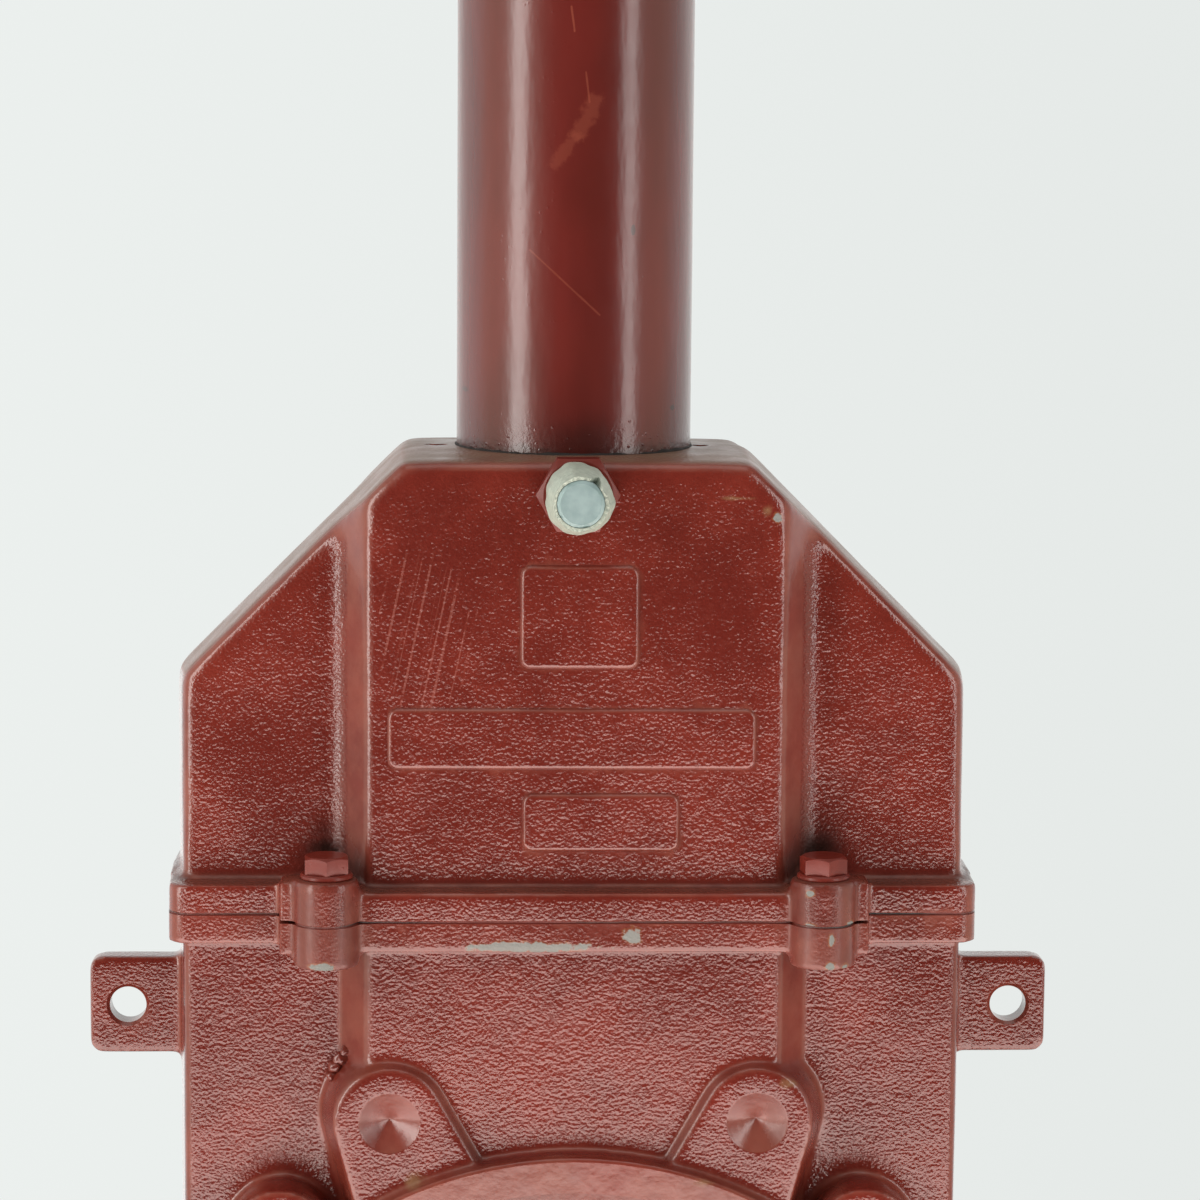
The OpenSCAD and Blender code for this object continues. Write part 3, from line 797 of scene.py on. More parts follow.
# Pressed fibre under enamel. The eye sees a thin brown crack wander along a red seam, and
# open black where the paint has let go.
@dataclass(frozen=True)
class JointPaint:
    """Fibre at the parting line, bridged by enamel except where it has cracked open."""

    name: str
    height: float
    red: str = "#74291f"
    brown: str = "#43190f"
    black: str = "#100b0a"
    open_at: tuple[float, ...] = (-56.0, 92.0)

    def material(self) -> bpy.types.Material:
        """Builds the painted edge.

        Returns:
            The material.
        """
        coat = Coat(self.name)
        x, _, z = coat.where.axes()
        wander, along = coat.cloud(9, 4.0), coat.streaks(x, 55, 2.0)
        off = z - self.height + (wander - 0.5) * (0.7 * MM)
        crack = abs(off).fall(0.18 * MM, 0.34 * MM) * (along.rise(0.42, 0.56) * 0.55 + 0.45)
        gaps = (abs(x - middle * MM).fall(10 * MM, 24 * MM) for middle in self.open_at)
        dark = reduce(Field.at_least, gaps).mix(linear(self.brown), linear(self.black))
        return coat.closed({
            "Base Color": crack.mix(linear(self.red), dark),
            "Roughness": 0.4,
            "Normal": coat.bumps(wander - crack, 0.3),
        })


@dataclass(frozen=True)
class PlainFinish:
    """A finish with one fine pattern: plated, ground or turned steel, rubber, tape, fibre."""

    name: str
    light: str
    dark: str
    grain_mm: Point
    bump_mm: float
    metallic: float
    roughness: float
    spread: float = 0.1

    def material(self) -> bpy.types.Material:
        """Builds the finish from a noise stretched to the grain's size on each axis.

        Returns:
            The material.
        """
        coat = Coat(self.name)
        where = coat.stretched(tuple(1 / (size * MM) for size in self.grain_mm))
        grain = coat.cloud(1 / MM, 4.0, where=where)
        return coat.closed({
            "Base Color": grain.rise(0.3, 0.7).mix(linear(self.dark), linear(self.light)),
            "Roughness": grain * (2 * self.spread) + (self.roughness - self.spread),
            "Normal": coat.bumps(grain, self.bump_mm),
            "Metallic": self.metallic,
        })


# ---- Layout -------------------------------------------------------------------------


@dataclass(frozen=True)
class Layout:
    """Where the main faces lie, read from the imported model."""

    front: float
    middle: float
    rear: float
    parting: float
    roof: float
    tube_radius: float
    bolt_x: float
    bolt_y: float
    bolt_top: float

    @classmethod
    def read(cls) -> "Layout":
        """Reads the faces from the CAD nodes' boxes.

        Returns:
            The layout.
        """
        gasket_low, gasket_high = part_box("parting_gasket")
        _, bonnet_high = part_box("bonnet_casting")
        tube_low, tube_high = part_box("cylinder_tube")
        bolt_low, bolt_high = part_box("flange_bolt_rear_right")
        middle = (tube_low.y + tube_high.y) / 2
        return cls(
            front=2 * middle,
            middle=middle,
            rear=0.0,
            parting=(gasket_low.z + gasket_high.z) / 2,
            roof=bonnet_high.z,
            tube_radius=(tube_high.x - tube_low.x) / 2,
            bolt_x=(bolt_low.x + bolt_high.x) / 2,
            bolt_y=(bolt_low.y + bolt_high.y) / 2,
            bolt_top=bolt_high.z,
        )


# ---- Castings -----------------------------------------------------------------------


@dataclass(kw_only=True)
class Casting:
    """A sand casting: its node's outside, softened as iron fills a mould, and machined.

    Attributes:
        node: The CAD node that it stands for.
        layout: Where the valve's main faces lie.
        voxel: Size of the grid that its outside is remade on.
        soften_passes: How often all its edges are eased.
        rounding_passes: How often the edges that rounder() picks are eased again.
        keep: Share of the triangles left after thinning.
        waviness: How far its skin wanders in and out.
        seed: Seed of the waviness.
        stretch: Allowance on the faces that are machined.
        room: Half width and half depth of the gate room.
        channel: Half width and half depth of the deeper channel in its middle.
        spare: How much wider the hollows are plugged than they are cut anew.
    """

    node: str
    layout: Layout
    voxel: float = 1.05 * MM
    soften_passes: int = 9
    rounding_passes: int = 60
    keep: float = 0.42
    waviness: float = 0.12 * MM
    seed: float = 3.0
    stretch: float = 4 * MM
    room: Flat = (114 * MM, 22 * MM)
    channel: Flat = (54 * MM, 35 * MM)
    spare: float = 2 * MM

    def source(self) -> bpy.types.Mesh:
        """A merged copy of the CAD node's mesh.

        Returns:
            The copy.
        """
        work = bmesh.new()
        work.from_mesh(bpy.data.objects[self.node].data)
        bmesh.ops.remove_doubles(work, verts=work.verts, dist=1e-6)
        mesh = bpy.data.meshes.new(self.node + "_source")
        work.to_mesh(mesh)
        work.free()
        return mesh

    def stretched(self, mesh: bpy.types.Mesh) -> bpy.types.Mesh:
        """Adds the allowance that the machining takes off again."""
        raise NotImplementedError

    def plugs(self) -> list[bpy.types.Mesh]:
        """Solids that fill every machined or cored hollow flush with its mouth."""
        raise NotImplementedError

    def hollow(self, spare: float = 0.0) -> tuple[float, float, float, float]:
        """Half width and depth of the gate room, then of its channel, with room to spare."""
        return tuple(size + spare for size in (*self.room, *self.channel))

    def bolt_rods(self, side: int, radius: float, low: float, high: float) -> list[bpy.types.Mesh]:
        """Rods on the axes of one side's two parting bolts, from low to high."""
        at = self.layout
        return [rod("bolt_hole", radius, low, high, Along.UP, (side * at.bolt_x, y, 0))
                for y in (2 * at.middle - at.bolt_y, at.bolt_y)]

    def off_bolt(self, rows: np.ndarray) -> np.ndarray:
        """How far each vertex lies from the nearest parting bolt's axis."""
        at = self.layout
        return np.hypot(np.abs(rows[:, 0]) - at.bolt_x,
                        np.abs(rows[:, 1] - at.middle) - (at.bolt_y - at.middle))

    def fairings(self, low: float, high: float) -> list[bpy.types.Mesh]:
        """The webs that carry the flange out to the sides of the bolt bosses.

        Args:
            low: Height of their feet.
            high: Height of their tops.

        Returns:
            Four blocks.
        """
        at, made = self.layout, []
        for side in (-1, 1):
            near, far = sorted((side * (at.bolt_x + 4 * MM), side * (at.bolt_x + 14.3 * MM)))
            for end in (-1, 1):
                y0, y1 = sorted((at.middle + end * 38 * MM, at.middle + end * 51.5 * MM))
                made.append(block("fairing", (near, y0, low), (far, y1, high)))
        return made

    def tools(self) -> list[bpy.types.Mesh]:
        """Tools that face the casting and cut its hollows anew, with crisp edges."""
        raise NotImplementedError

    def extras(self) -> list[bpy.types.Mesh]:
        """Small raised forms joined to the casting before it is machined."""
        return []

    def softness(self, rows: np.ndarray) -> np.ndarray:
        """How far the edges are rounded at each vertex: least at the flange, in two steps."""
        off = np.abs(rows[:, 2] - (self.layout.parting - 7 * MM))
        return np.where(off < 5.5 * MM, 0.4, np.where(off < 7.5 * MM, 0.7, 1.0))

    def rounder(self, rows: np.ndarray) -> np.ndarray:
        """How far the edges are rounded a second time at each vertex."""
        return np.zeros(len(rows))

    def grain(self, rows: np.ndarray, turn: np.ndarray) -> np.ndarray:
        """How pebbled the surface is at each vertex."""
        return ramp(np.abs(turn).max(axis=1), 0.9, 0.972)

    def fronted(self, rows: np.ndarray) -> np.ndarray:
        """Where the corners are as rough as the flats beside them."""
        return np.zeros(len(rows))

    def dusty(self, rows: np.ndarray, turn: np.ndarray) -> np.ndarray:
        """How much dust lies at each vertex: on what faces up, above the flange rings."""
        return ramp(turn[:, 2], 0.78, 0.985) * ramp(rows[:, 2], 180 * MM, 200 * MM)

    def grime_and_shade(self, rows: np.ndarray, turn: np.ndarray) -> np.ndarray:
        """How far grime and painted shade darken each vertex: here a little real grime on the bolt bosses.
        """
        boss = 1 - ramp(self.off_bolt(rows), 10.5 * MM, 12 * MM)
        return 0.22 * boss * ramp(rows[:, 2], 184 * MM, 187 * MM)

    def build(self) -> bpy.types.Object:
        """Makes the finished casting.

        Returns:
            The piece, with its grain, dust level, and grime and painted shade attributes.
        """
        piece = show(self.node + "_cast", self.stretched(self.source()))
        for plug in self.plugs():
            carve(piece, plug, Cut.JOIN)
        shell = piece.modifiers.new("sand", "REMESH")
        shell.mode = "VOXEL"
        shell.voxel_size = self.voxel
        baked(piece)
        soften(piece, self.softness(coords(piece.data)), self.soften_passes)
        soften(piece, self.rounder(coords(piece.data)), self.rounding_passes)
        rows = coords(piece.data)
        sway = waves(rows, 22 * MM, self.seed) * self.waviness
        set_coords(piece.data, rows + normals(piece.data) * sway[:, None])
        thin = piece.modifiers.new("thin", "DECIMATE")
        thin.ratio = self.keep
        baked(piece)
        for extra in self.extras():
            carve(piece, extra, Cut.JOIN)
        for tool in self.tools():
            carve(piece, tool, Cut.AWAY)
        tidied(piece.data, 1e-6)
        shaded(piece)
        flats = piece.modifiers.new("flats", "WEIGHTED_NORMAL")
        flats.mode, flats.weight, flats.keep_sharp = "FACE_AREA", 100, True
        baked(piece)
        rows, turn = coords(piece.data), normals(piece.data)
        corner = hollows(piece.data) * self.fronted(rows)
        ground = np.maximum(self.grain(rows, turn), 0.9 * corner * ramp(np.abs(turn[:, 1]), 0.66, 0.82))
        store(piece.data, "grain", ground)
        store(piece.data, "level", self.dusty(rows, turn))
        store(piece.data, "dirt_and_shade", self.grime_and_shade(rows, turn))
        return piece


# Middle in X and Z and radius, in millimetres
FLASH_LUMPS = ((-71.6, 153.4, 2.3), (-73.4, 150.8, 2.1), (-69.8, 155.2, 1.9), (-74.4, 147.6, 1.9))


@dataclass(kw_only=True)
class BodyCasting(Casting):
    """The body: flange rings, lugs, ears and the lower half of the parting flange."""

    node: str = "body_casting"
    keep: float = 0.295
    ring_radius: float = 126.5 * MM
    lug_circle: float = 147.5 * MM
    ear_x: float = 139.7 * MM
    ear_z: float = 163.0 * MM
    ear_half_thickness: float = 4.5 * MM
    lug_face: float = 48.0 * MM

    def stretched(self, mesh: bpy.types.Mesh) -> bpy.types.Mesh:
        """Raises the parting face and both ring faces.

        Args:
            mesh: The copy, changed in place.

        Returns:
            The mesh.
        """
        rows = coords(mesh)
        top = self.layout.parting - 0.8 * MM
        rows[:, 2] += np.where(rows[:, 2] > top, self.stretch, 0.0)
        ring = np.hypot(rows[:, 0], rows[:, 2]) < self.ring_radius + 1 * MM
        for face, way in ((self.layout.front, -1), (self.layout.rear, 1)):
            on_face = ring & (np.abs(rows[:, 1] - face) < 0.05 * MM)
            rows[:, 1] += np.where(on_face, way * self.stretch, 0.0)
        set_coords(mesh, rows)
        return mesh

    def lug_places(self) -> list[tuple[float, float, bool]]:
        """Centre of each flange lug, and whether it is drilled through.

        Returns:
            X, Z and the answer for each of the eight.
        """
        angles = [22.5 + 45.0 * i for i in range(8)]
        return [
            (self.lug_circle * math.cos(math.radians(a)), self.lug_circle * math.sin(math.radians(a)),
             abs(a - 90.0) > 45.0)
            for a in angles
        ]

    def plugs(self) -> list[bpy.types.Mesh]:
        """The passage and its grooves, the gate room, and every hole.

        Returns:
            The solids, in the order in which they are joined.
        """
        mid = self.layout.middle
        top = self.layout.parting - 0.5 * MM + self.stretch
        face = -mid + self.stretch
        x, y, wide, deep = self.hollow(self.spare)
        made = [
            rod("passage", 120 * MM, -face, face, Along.REAR, (0, mid, 0)),
            rod("slot_foot", x, -y, y, Along.REAR, (0, mid, 0)),
            block("slot", (-x, mid - y, 0), (x, mid + y, top)),
            block("channel", (-wide, mid - deep, 111 * MM), (wide, mid + deep, top)),
        ]
        for x, z, _ in self.lug_places():
            made.append(rod("lug_hole", 13.5 * MM, -self.lug_face, self.lug_face, Along.REAR, (x, mid, z)))
        half = self.ear_half_thickness
        for side in (-1, 1):
            ear = (side * self.ear_x, mid, self.ear_z)
            made.append(rod("ear_hole", 8 * MM, -half, half, Along.REAR, ear))
            made += self.bolt_rods(side, 6 * MM, self.layout.parting - 13.5 * MM, top)
        return made + self.fairings(self.layout.parting - 10.5 * MM, top)

    def tools(self) -> list[bpy.types.Mesh]:
        """Facing cuts, the passage with its grooves, the gate room and the holes.

        Returns:
            The tools, in the order in which they cut.
        """
        mid, far = self.layout.middle, 0.4
        top = self.layout.parting - 0.5 * MM
        over = top + 20 * MM
        made = [block("parting_face", (-far, -far, top), (far, far, over))]
        ring, soft = self.ring_radius, 1.3 * MM
        arc = [(ring - soft + soft * math.sin(t), -soft + soft * math.cos(t))
               for t in (math.radians(15 * i) for i in range(7))]
        wide = ring + 6 * MM
        facing = [(0, 0), *arc, (wide, -soft), (wide, 20 * MM), (0, 20 * MM)]
        groove = [(108 * MM, -4 * MM), (115.5 * MM, -4 * MM), (115.5 * MM, 1 * MM), (108 * MM, 1 * MM)]
        for along, y in ((Along.FRONT, self.layout.front), (Along.REAR, self.layout.rear)):
            made.append(turned("ring_face", facing, 192, along, (0, y, 0)))
            made.append(turned("seal_groove", groove, 192, along, (0, y, 0)))
        passage = [(0, -60), (101, -60), (101, -52.5), (100, -51.5), (100, -30), (110.1, -30), (110.1, 30),
                   (100, 30), (100, 51.5), (101, 52.5), (101, 60), (0, 60)]
        made.append(turned("passage", metres(passage), 192, Along.REAR, (0, mid, 0)))
        x, y, wide, deep = self.hollow()
        foot = [(x * math.cos(a), x * math.sin(a)) for a in (math.radians(3 * i) for i in range(60, 121))]
        made.append(slab("room", [*foot, (x, over), (-x, over)], mid - y, mid + y))
        made.append(block("channel", (-wide, mid - deep, 113.5 * MM), (wide, mid + deep, over)))
        return made + self.hole_tools(mid, over)

    def extras(self) -> list[bpy.types.Mesh]:
        """Sand and flash left in the corner beside the upper left lug.

        Returns:
            The solids.
        """
        made = []
        for i, (x, z, size) in enumerate(FLASH_LUMPS):
            work = bmesh.new()
            bmesh.ops.create_icosphere(work, subdivisions=3, radius=size * MM)
            for vert in work.verts:
                vert.co *= 1 + 0.35 * noise.noise(vert.co / (0.9 * size * MM) + Vector((i, 3.0, 7.0)))
                vert.co += Vector((x * MM, self.layout.middle - 33.5 * MM, z * MM))
            mesh = bpy.data.meshes.new("flash_lump")
            work.to_mesh(mesh)
            work.free()
            made.append(mesh)
        return made

    def grime_and_shade(self, rows: np.ndarray, turn: np.ndarray) -> np.ndarray:
        """Also painted shade, darker and duller enamel, down the inner flanks of the upper lugs.

        Args:
            rows: The vertices.
            turn: Their normals.

        Returns:
            An amount from 0 to 1 for each.
        """
        proud = np.abs(rows[:, 1] - self.layout.middle)
        flank = ramp(proud, 43.8 * MM, 44.6 * MM) * (1 - ramp(proud, 47.5 * MM, 48.0 * MM))
        inner = ramp(-turn[:, 0] * np.sign(rows[:, 0]), 0.1, 0.4) * ramp(rows[:, 2], 105 * MM, 112 * MM)
        inner *= 1 - ramp(rows[:, 2], 160 * MM, 165 * MM)
        # Grime on the bolt bosses, plus painted shade on the lugs' inner flanks
        return super().grime_and_shade(rows, turn) + 0.2 * flank * inner

    def hole_tools(self, mid: float, over: float) -> list[bpy.types.Mesh]:
        """The drilled holes, the two drill marks and the ear holes with broken rims.

        Args:
            mid: Y of the valve's middle plane.
            over: Height that the bolt holes are cut up to.

        Returns:
            The tools.
        """
        made = []
        # The drill's cone, turned in fine steps, and a rim that it broke out wider
        rings = [(9.3 * i / 26, -5.8 + 5.6 * i / 26 + (0.02 if i % 2 else -0.02)) for i in range(1, 26)]
        mark = [(0, -5.9), *rings, (9.3, -0.2), (9.75, 0.05), (11.5, 0.45), (11.5, 6), (0, 6)]
        for x, z, through in self.lug_places():
            if through:
                made.append(rod("lug_hole", 11 * MM, -60 * MM, 60 * MM, Along.REAR, (x, mid, z)))
                continue
            for along, y in ((Along.FRONT, mid - self.lug_face), (Along.REAR, mid + self.lug_face)):
                made.append(turned("drill_mark", metres(mark), 64, along, (x, y, z)))
        rim = [(0, -9.2), (5.75, -9.2), (5.75, -0.9), (7.4, 0.6), (7.4, 3), (0, 3)]
        for side in (-1, 1):
            for along, sign in ((Along.FRONT, -1), (Along.REAR, 1)):
                y = mid + sign * self.ear_half_thickness
                at = (side * self.ear_x, y, self.ear_z)
                made.append(turned("ear_rim", metres(rim), 64, along, at))
            made += self.bolt_rods(side, 4.1 * MM, self.layout.parting - 20 * MM, over)
        return made

    def grain(self, rows: np.ndarray, turn: np.ndarray) -> np.ndarray:
        """Pebbled flats; the rings, the bolt bosses and the hollow inside are smoother.

        Args:
            rows: The vertices.
            turn: Their normals.

        Returns:
            An amount for each, mostly from 0 to 1.
        """
        mask = super().grain(rows, turn)
        mid = self.layout.middle
        radius = np.hypot(rows[:, 0], rows[:, 2])
        proud = np.abs(rows[:, 1] - mid)
        mask *= 1 - ramp(proud, 48.6 * MM, 49.2 * MM) * (1 - ramp(radius, 127 * MM, 128 * MM))
        boss = 1 - ramp(self.off_bolt(rows), 12.5 * MM, 15.5 * MM)
        mask *= 1 - 0.65 * boss * ramp(rows[:, 2], 183 * MM, 186 * MM)
        mask *= 1 - 0.2 * ramp(rows[:, 2], 189 * MM, 190 * MM)
        inside = (radius < 118 * MM) & (proud < 52 * MM) & (rows[:, 2] < 150 * MM)
        inside &= ~((rows[:, 2] > 120 * MM) & (proud > 40 * MM))
        mask[inside] = 0.0
        return mask


@dataclass(kw_only=True)
class BonnetCasting(Casting):
    """The bonnet: a shouldered slab with raised panels and the upper parting flange."""

    node: str = "bonnet_casting"
    seed: float = 8.0
    soften_passes: int = 14
    shelf: float = 209 * MM
    slab_y: float = 31 * MM
    panel_x: float = 63 * MM
    panel_y: float = 44 * MM
    ledge: float = 311 * MM
    lock_z: float = 330 * MM
    shoulder: float = 70 * MM

    def stretched(self, mesh: bpy.types.Mesh) -> bpy.types.Mesh:
        """Lowers the parting face.

        Args:
            mesh: The copy, changed in place.

        Returns:
            The mesh.
        """
        rows = coords(mesh)
        rows[:, 2] -= np.where(rows[:, 2] < self.layout.parting + 0.8 * MM, self.stretch, 0.0)
        set_coords(mesh, rows)
        return mesh

    def plugs(self) -> list[bpy.types.Mesh]:
        """The gate room, the tube's pocket, the bolt holes and the locking screw's hole.

        Returns:
            The solids, in the order in which they are joined.
        """
        mid = self.layout.middle
        foot = self.layout.parting + 0.5 * MM - self.stretch
        x, y, wide, deep = self.hollow(self.spare)
        turn, top = (x, 272 * MM), (54 * MM, 334 * MM)
        made = [
            slab("room", self.shouldered(foot, turn, top), mid - y, mid + y),
            block("channel", (-wide, mid - deep, foot), (wide, mid + deep, self.ledge + self.spare)),
            rod("tube_pocket", 38.6 * MM, self.ledge - 3 * MM, self.layout.roof, Along.UP, (0, mid, 0)),
            rod("screw_hole", 9 * MM, -21 * MM, 44 * MM, Along.FRONT, (0, mid, self.lock_z)),
        ]
        for side in (-1, 1):
            made += self.bolt_rods(side, 6 * MM, foot, self.layout.parting + 13.5 * MM)
        return made + self.fairings(foot, self.layout.parting + 12.3 * MM) + self.panel_feet()

    @staticmethod
    def shouldered(foot: float, turn: Flat, top: Flat) -> list[Flat]:
        """Outline of the gate room, from its foot up to where it turns in, and to its top."""
        right = [(turn[0], foot), turn, top]
        return [(-turn[0], foot), *right, (-top[0], top[1]), (-turn[0], turn[1])]

    def panel_feet(self) -> list[bpy.types.Mesh]:
        """Wide fillets where the raised panels stand on the slab.

        Returns:
            The four solids.
        """
        corner = [(69.0, 32.6), (69.9, 33.5), (74.4, 30.9), (74.4, 29.0), (69.0, 29.0)]
        made = []
        for side in (-1, 1):
            for end in (-1, 1):
                ring = [(side * x * MM, self.layout.middle + end * y * MM) for x, y in corner]
                made.append(upright("panel_foot", ring, 211 * MM, 315 * MM))
        return made

    def tools(self) -> list[bpy.types.Mesh]:
        """The parting face, the gate room, the tube's pocket and the holes.

        Returns:
            The tools, in the order in which they cut.
        """
        mid, far, foot = self.layout.middle, 0.4, self.layout.parting + 0.5 * MM
        under = foot - 20 * MM
        x, y, wide, deep = self.hollow()
        turn, top = (x, 271.3 * MM), (53.3 * MM, 332 * MM)
        pocket = [(0, 305), (17.5, 305), (17.5, 315), (36.6, 315), (36.6, 345), (0, 345)]
        made = [
            block("parting_face", (-far, -far, under), (far, far, foot)),
            slab("room", self.shouldered(under, turn, top), mid - y, mid + y),
            block("channel", (-wide, mid - deep, under), (wide, mid + deep, self.ledge)),
            turned("pocket", metres(pocket), 128, Along.UP, (0, mid, 0)),
            cleft("left_cleft", (-42.9 * MM, mid - 2.3 * MM, self.layout.roof), 3.8 * MM),
            cleft("right_cleft", (39.0 * MM, mid - 1.9 * MM, self.layout.roof), 3.4 * MM),
            rod("screw_hole", 7.1 * MM, 31.5 * MM, 52 * MM, Along.FRONT, (0, mid, self.lock_z)),
        ]
        for side in (-1, 1):
            made += self.bolt_rods(side, 4.5 * MM, under, self.layout.parting + 20 * MM)
        return made

    def dusty(self, rows: np.ndarray, turn: np.ndarray) -> np.ndarray:
        """Full on the roof and shoulders, thin on the flange.

        Args:
            rows: The vertices.
            turn: Their normals.

        Returns:
            An amount from 0 to 1 for each.
        """
        behind = 1 - ramp(np.abs(rows[:, 1] - self.layout.middle), 43.0 * MM, 43.6 * MM)
        high = ramp(rows[:, 2], 225 * MM, 260 * MM)
        level = np.maximum(super().dusty(rows, turn), 0.8 * high * ramp(self.sloping(turn), 0.86, 0.985))
        return level * (0.3 + 0.7 * high) * np.where(high > 0.2, behind, 1.0)

    def rounder(self, rows: np.ndarray) -> np.ndarray:
        """Along the slab's outline, and most where it turns over the shoulders.

        Args:
            rows: The vertices.

        Returns:
            An amount from 0 to 1 for each, in tenths.
        """
        across, below = np.abs(rows[:, 0]), self.layout.roof - rows[:, 2]
        inside = across[below < self.shoulder].max() - across
        slope = (inside + below - self.shoulder) * math.sqrt(0.5)
        off = np.minimum(np.minimum(inside, below), slope)
        edge = 0.6 * (1 - ramp(off, 6 * MM, 10 * MM)) * ramp(rows[:, 2], 216 * MM, 232 * MM)
        turn = np.minimum(np.hypot(inside, below - self.shoulder), np.hypot(inside - self.shoulder, below))
        return np.round(np.maximum(edge, 1 - ramp(turn, 7 * MM, 13 * MM)), 1)

    @staticmethod
    def sloping(turn: np.ndarray) -> np.ndarray:
        """How nearly each vertex faces out over a shoulder, at 45 degrees."""
        return (np.abs(turn[:, 0]) + turn[:, 2]) * math.sqrt(0.5)

    def grime_and_shade(self, rows: np.ndarray, turn: np.ndarray) -> np.ndarray:
        """Darker along the foot of the panels, and darkest in the corners behind the bolt bosses.

        Args:
            rows: The vertices.
            turn: Their normals.

        Returns:
            An amount from 0 to 1 for each.
        """
        proud = np.abs(rows[:, 1] - self.layout.middle)
        wall = np.where(np.abs(rows[:, 0]) < self.panel_x + 1 * MM, self.panel_y, self.slab_y)
        near = np.hypot(np.maximum(rows[:, 2] - self.shelf, 0.0), np.maximum(proud - wall, 0.0))
        line = 1 - ramp(near, 0.5 * MM, 3.0 * MM)
        corner = np.hypot(np.abs(rows[:, 0]) - self.layout.bolt_x, (rows[:, 2] - self.shelf) * 0.55)
        pocket = (1 - ramp(corner, 4 * MM, 13 * MM)) * (1 - ramp(proud, 40 * MM, 43 * MM))
        above = ramp(rows[:, 2], 206 * MM, 208 * MM)
        return np.clip(0.38 * line + 0.9 * pocket, 0, 1) * above + super().grime_and_shade(rows, turn)

    def fronted(self, rows: np.ndarray) -> np.ndarray:
        """The edges of the sunk side panels."""
        return ramp(rows[:, 2], 216 * MM, 220 * MM)

    def extras(self) -> list[bpy.types.Mesh]:
        """Blank cast pads on the front panel.

        Returns:
            The solids.
        """
        face = self.layout.middle - self.panel_y
        return [
            blank_pad("wide_pad", (-1.1 * MM, 255 * MM), (56 * MM, 9.4 * MM), face),
            blank_pad("short_pad", (7.8 * MM, 229.3 * MM), (24 * MM, 9.0 * MM), face),
            blank_pad("upper_pad", (1.0 * MM, 292.3 * MM), (18 * MM, 15.8 * MM), face),
        ]

    def grain(self, rows: np.ndarray, turn: np.ndarray) -> np.ndarray:
        """Pebbled flats, shoulders and panel feet, most at the flange's upper edge, least on the bosses.

        Args:
            rows: The vertices.
            turn: Their normals.

        Returns:
            An amount for each, mostly from 0 to 1.
        """
        across, proud = np.abs(rows[:, 0]), np.abs(rows[:, 1] - self.layout.middle)
        foot = ramp(across, 69.0 * MM, 70.2 * MM) * (1 - ramp(across, 75 * MM, 76 * MM))
        mask = np.maximum(super().grain(rows, turn), ramp(self.sloping(turn), 0.93, 0.985))
        foot = 1.25 * foot * ramp(proud, 30 * MM, 30.6 * MM)
        mask = np.maximum(mask, foot * (1 - ramp(rows[:, 2], 313 * MM, 316 * MM)))
        upper = ramp(rows[:, 2], 200 * MM, 200.6 * MM) * (1 - ramp(rows[:, 2], 209.4 * MM, 210 * MM))
        mask *= 1 + 0.7 * upper
        boss = 1 - ramp(self.off_bolt(rows), 12.5 * MM, 15.5 * MM)
        return mask * (1 - 0.65 * boss * (1 - ramp(rows[:, 2], 216 * MM, 219 * MM)))


def cleft(name: str, at: Point, half: float) -> bpy.types.Mesh:
    """A tool for a short, ragged shrinkage crack in a top face.

    Args:
        name: Name of the mesh.
        at: Middle of the crack, on the face.
        half: Half its length along X.

    Returns:
        The tool, a thin lens that reaches 4 mm down.
    """
    count = 12
    ends = [-half + 2 * half * i / count for i in range(count + 1)]
    swell = [1.9 * MM * math.sqrt(max(0.0, 1 - (x / half) ** 2)) + 0.03 * MM for x in ends]
    bend = [0.6 * MM * math.sin(9 * i / count) for i in range(count + 1)]
    outline = [(x, b - w) for x, w, b in zip(ends, swell, bend)]
    outline += [(x, b + w) for x, w, b in reversed(list(zip(ends, swell, bend)))]
    placed = [(at[0] + x, at[1] + y) for x, y in outline]
    return upright(name, placed, at[2] - 4 * MM, at[2] + 3 * MM)


def blank_pad(name: str, centre: Flat, half: Flat, face: float) -> bpy.types.Mesh:
    """A raised pad with drafted, rounded edges on a front face.

    Args:
        name: Name of the mesh.
        centre: Its middle in X and Z.
        half: Half its width and height at the foot.
        face: Y of the face that it stands on.

    Returns:
        The mesh, sunk a little into the face.
    """
    layers = [(0.0, 1.0), (0.0, -0.1), (0.35, -0.65), (0.75, -1.0), (1.4, -1.15)]
    corner, arc = 3.2 * MM, 6
    rings: list[list[Point]] = []
    for inset, lift in layers:
        radius, ring = corner - inset * MM, []
        for quarter, (sx, sz) in enumerate(((1, 1), (-1, 1), (-1, -1), (1, -1))):
            for step in range(arc + 1):
                angle = math.radians(90 * (quarter + step / arc))
                ring.append((
                    centre[0] + sx * (half[0] - corner) + radius * math.cos(angle),
                    face + lift * MM,
                    centre[1] + sz * (half[1] - corner) + radius * math.sin(angle),
                ))
        rings.append(ring)
    return prism(name, *rings)


# ---- Cylinder -----------------------------------------------------------------------


